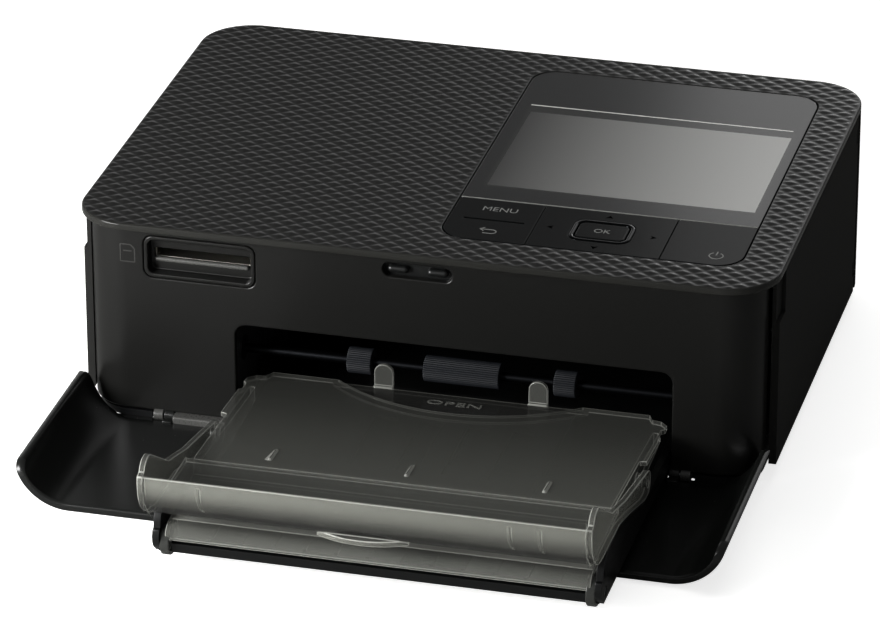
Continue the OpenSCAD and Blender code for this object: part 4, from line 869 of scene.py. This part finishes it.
# Blackened steel shaft: dark grey, with a low metal shine
shaft_steel, tree, shader = material("blackened steel", "#1b1c1e", Metallic=1)
grain(tree, shader, 0.3, 0.002, roughness=0.38)
for name in ("pickup_shaft", "capstan_roller"):
    finish_node(name, shaft_steel, 0.08)
for name in ("platen_roller", "pinch_roller"):
    finish_node(name, roller_rubber, 0.2)

# Natural acetal: ivory and waxy
acetal, tree, shader = material("natural acetal", "#e2ddcd", IOR=1.48)
shader.inputs["Subsurface Weight"].default_value = 0.1
grain(tree, shader, 0.5, 0.002, roughness=0.4)
for name in ("pickup_gear", "idler_gear_front", "idler_gear_rear"):
    finish_node(name, acetal, 0.06)

# Drawn steel motor cans, a soft grey metal, and yellow brass pinions with a fine cut shine
motor_can, tree, shader = material("nickel plated can", "#8d9094", Metallic=1)
grain(tree, shader, 0.6, 0.003, roughness=0.32)
brass, tree, shader = material("cut brass", "#c39a45", Metallic=1)
grain(tree, shader, 0.25, 0.003, roughness=0.28)
for name in ("feed_motor", "ribbon_motor"):
    finish_node(name, motor_can, 0.2)
for name in ("motor_pinion", "ribbon_pinion"):
    finish_node(name, brass, 0.05)


# ---- Print head and ink cassette ---------------------------------------------
# The thermal head is a finned aluminium bar over the platen. The ink cassette is a grey moulded
# double tube with a spool in each, and the dye film passes between them under the head.

# Extruded aluminium: soft white metal with fine drawn lines
aluminium, tree, shader = material("extruded aluminium", "#c9cccf", Metallic=1)
place = node(tree, "ShaderNodeTexCoord")
stretch = node(tree, "ShaderNodeMapping", [(place.outputs["Object"], "Vector")],
               Scale=(20, 900, 900))
lines = node(tree, "ShaderNodeTexNoise", [(stretch.outputs["Vector"], "Vector")], Scale=3)
ramp = node(tree, "ShaderNodeMapRange", [(lines.outputs["Fac"], "Value")], To_Min=0.25, To_Max=0.45)
tree.links.new(ramp.outputs["Result"], shader.inputs["Roughness"])
finish_node("print_head", aluminium, 0.1, pierced=True)

# Polystyrene shell and spools: mid and dark grey, smooth
shell_plastic, tree, shader = material("grey polystyrene", "#3c4046", IOR=1.59)
grain(tree, shader, 0.5, 0.004, roughness=0.4)
spool_plastic, tree, shader = material("dark polystyrene", "#26292f", IOR=1.59)
grain(tree, shader, 0.5, 0.004, roughness=0.42)
finish_node("ink_cassette", shell_plastic, 0.15)
for name in ("supply_spool", "takeup_spool"):
    finish_node(name, spool_plastic, 0.05)

# Dye-coated polyester film: violet, with a wet gloss that comes and goes along it
film, tree, shader = material("dye film", "#54407f", IOR=1.6)
place = node(tree, "ShaderNodeTexCoord")
bands = node(tree, "ShaderNodeTexNoise", [(place.outputs["Object"], "Vector")], Scale=60)
ramp = node(tree, "ShaderNodeMapRange", [(bands.outputs["Fac"], "Value")], To_Min=0.1, To_Max=0.22)
tree.links.new(ramp.outputs["Result"], shader.inputs["Roughness"])
finish_node("ribbon_film", film, 0)


# ---- Cassette tray -----------------------------------------------------------
# A deep black ABS tray, moulded in one piece. Inside it a black acetal plate, pushed up by a
# steel leaf spring, lifts the paper's end to the rollers.

# Tray ABS: black, with a soft sheen
tray_plastic, tree, shader = material("tray ABS", "#0c0d0d", IOR=1.5, Specular_IOR_Level=0.35)
grain(tree, shader, 0.6, 0.003, roughness=0.3)
finish_node("cassette_tray", tray_plastic, 0.35, 3, pierced=True)
finish_node("lift_spring", pin_steel, 0)


# ---- Cassette lids -----------------------------------------------------------
# Two injection-moulded acrylic lids. The inner one covers the paper and is smoked; the outer one
# is clear, carries the scooped end wall that catches the prints, and swings on the inner one.

def acrylic_lid(name, made, polished, edge):
    """A lid's node in its acrylic, its rounded edges in the brighter material, a painted highlight and
    glow.
    """
    lid = finish_node(name, made, edge, 3, pierced=name == "outer_lid")
    lid.data.materials.append(polished)
    lid.modifiers["rounded edges"].material = 1
    lid.modifiers["rounded edges"].use_clamp_overlap = False
    return lid


def acrylic(name, level, front, under, opacity, glow=0.0):
    """Thin acrylic with painted reflection and shade in its colour: its tone follows which way each
    face turns, for the dark ceiling it would mirror where it looks up, the pale floor before it where
    it stands, and a painted shadow where it looks down. A painted light also pales it from the body
    towards the front right, and the glow, where one is given, is painted light."""
    made, tree, shader = material(name, IOR=1.49, Alpha=opacity)
    way = node(tree, "ShaderNodeNewGeometry")
    split = node(tree, "ShaderNodeSeparateXYZ", [(way.outputs["Normal"], "Vector")])
    place = node(tree, "ShaderNodeMapRange", [(split.outputs["Z"], "Value")],
                 From_Min=-1, From_Max=1)
    ramp = node(tree, "ShaderNodeValToRGB", [(place.outputs["Result"], "Fac")])
    stops = ramp.color_ramp.elements
    for stop, colour in ((0.2, under), (0.5, front), (0.62, front)):
        made_stop = stops.new(stop)
        made_stop.color = linear(colour)
    stops[0].color, stops[-1].color = linear(under), linear(level)
    spot = node(tree, "ShaderNodeTexCoord")
    where = node(tree, "ShaderNodeVectorMath", [(spot.outputs["Object"], 0)],
                 operation="DOT_PRODUCT")
    where.inputs[1].default_value = (0.4, -1, 0)
    reach = node(tree, "ShaderNodeMapRange", [(where.outputs["Value"], "Value")], From_Min=0,
                 From_Max=0.1, To_Min=0.5, To_Max=1.25)
    shaded = node(tree, "ShaderNodeMix", data_type="RGBA", blend_type="MULTIPLY")
    shaded.inputs[0].default_value = 1
    tree.links.new(ramp.outputs["Color"], shaded.inputs[6])
    tree.links.new(reach.outputs["Result"], shaded.inputs[7])
    tree.links.new(shaded.outputs[2], shader.inputs["Base Color"])
    shader.inputs["Emission Color"].default_value = linear(level)
    shader.inputs["Emission Strength"].default_value = glow
    grain(tree, shader, 8.0, 0.0002, spread=0.02, roughness=0.16)
    return made


# Smoked acrylic over the paper, clear acrylic for the catcher, a painted highlight and glow for
# the light a sheet carries to its edges, and a painted sheen in a paler tone for what stands up
# from the lid
smoked = acrylic("smoked acrylic", "#60615c", "#6a6b66", "#1b1b1a", 0.45)
clear = acrylic("clear acrylic", "#4f504c", "#787972", "#141414", 0.5)
painted_edge_glow = acrylic("acrylic edge", "#b4b5ae", "#bdbeb7", "#5b5c55", 0.55, 0.08)
painted_sheen_tone = acrylic("acrylic deck", "#9fa099", "#9fa099", "#55564f", 0.5)
acrylic_lid("inner_lid", smoked, painted_edge_glow, 0.22)
acrylic_lid("outer_lid", clear, painted_edge_glow, 0.25)

# The deck's raised band, in the paler tone of a painted sheen, and the round ends of the lid's front
# wall
deck = [block((-44.2, -134.7, 12.2), (62.2, -128, 12.55), 0.12),
        block((-44.2, -126.6, 12.2), (62.2, -121, 12.5), 0.12)]
piece("lid_deck_band", deck, painted_sheen_tone, "inner_lid")
ends = []
for x in (-45.8, 61.3):
    for radius, length in ((4.05, 2.5), (2.3, 2.9)):
        ring = arc((-135.2, 7.2), radius, 0, 360, 40)[:-1]
        ends.append(moved(facing(plate([ring], edge_profile(0, length, 0.4, 0.4)), ALONG_X),
                          (x - (length - 2.5) / 2, 0, 0)))
# Smoked acrylic in a thick round end, where no light comes through: a dark grey gloss
cap_plastic, tree, shader = material("smoked acrylic cap", "#30312f", IOR=1.49)
grain(tree, shader, 1.0, 0.002, spread=0.03, roughness=0.15)
piece("lid_end_caps", ends, cap_plastic, "inner_lid")

# The finger recess: an arc cut into the lid, with the word moulded on its floor
lid_rear, lid_front = (-55.2, 14.7), (-112.0, 18.4)
lid_slope = (lid_front[1] - lid_rear[1]) / (lid_front[0] - lid_rear[0])
recess_middle, recess_r, recess_d = (9.0, -22.2), 45.5, 0.9


def on_recess(shape, height):
    """A flat shape laid along the lid's slope, at a height over the floor of the recess."""
    points, faces = shape
    points[:, 2] += lid_rear[1] + (points[:, 1] - lid_rear[0]) * lid_slope - recess_d + height
    return points, faces


# The word is in the same paler tone: a painted highlight that shows its letters
word, word_faces = lettering("OPEN", 4.4, 0.1)
word = word * (1.3, 0.75, 1) + (8.9, -60.9, 0)
piece("open_mark", [on_recess((word, word_faces), 0.08)], painted_sheen_tone, "inner_lid",
      weigh=False)
# A painted shade in the recess: a thin sheet of smoked acrylic as glossy as the lid round it, and
# darker
recess_painted_shade = acrylic("acrylic recess", "#3c3c3a", "#3c3c3a", "#151514", 0.45)
recess_shade_plate = plate([arc(recess_middle, recess_r, 228, 312, 40)], [(0, 0), (0, 0.04)])
piece("recess_shade_sheet", [on_recess(recess_shade_plate, 0.01)], recess_painted_shade, "inner_lid",
      weigh=False)
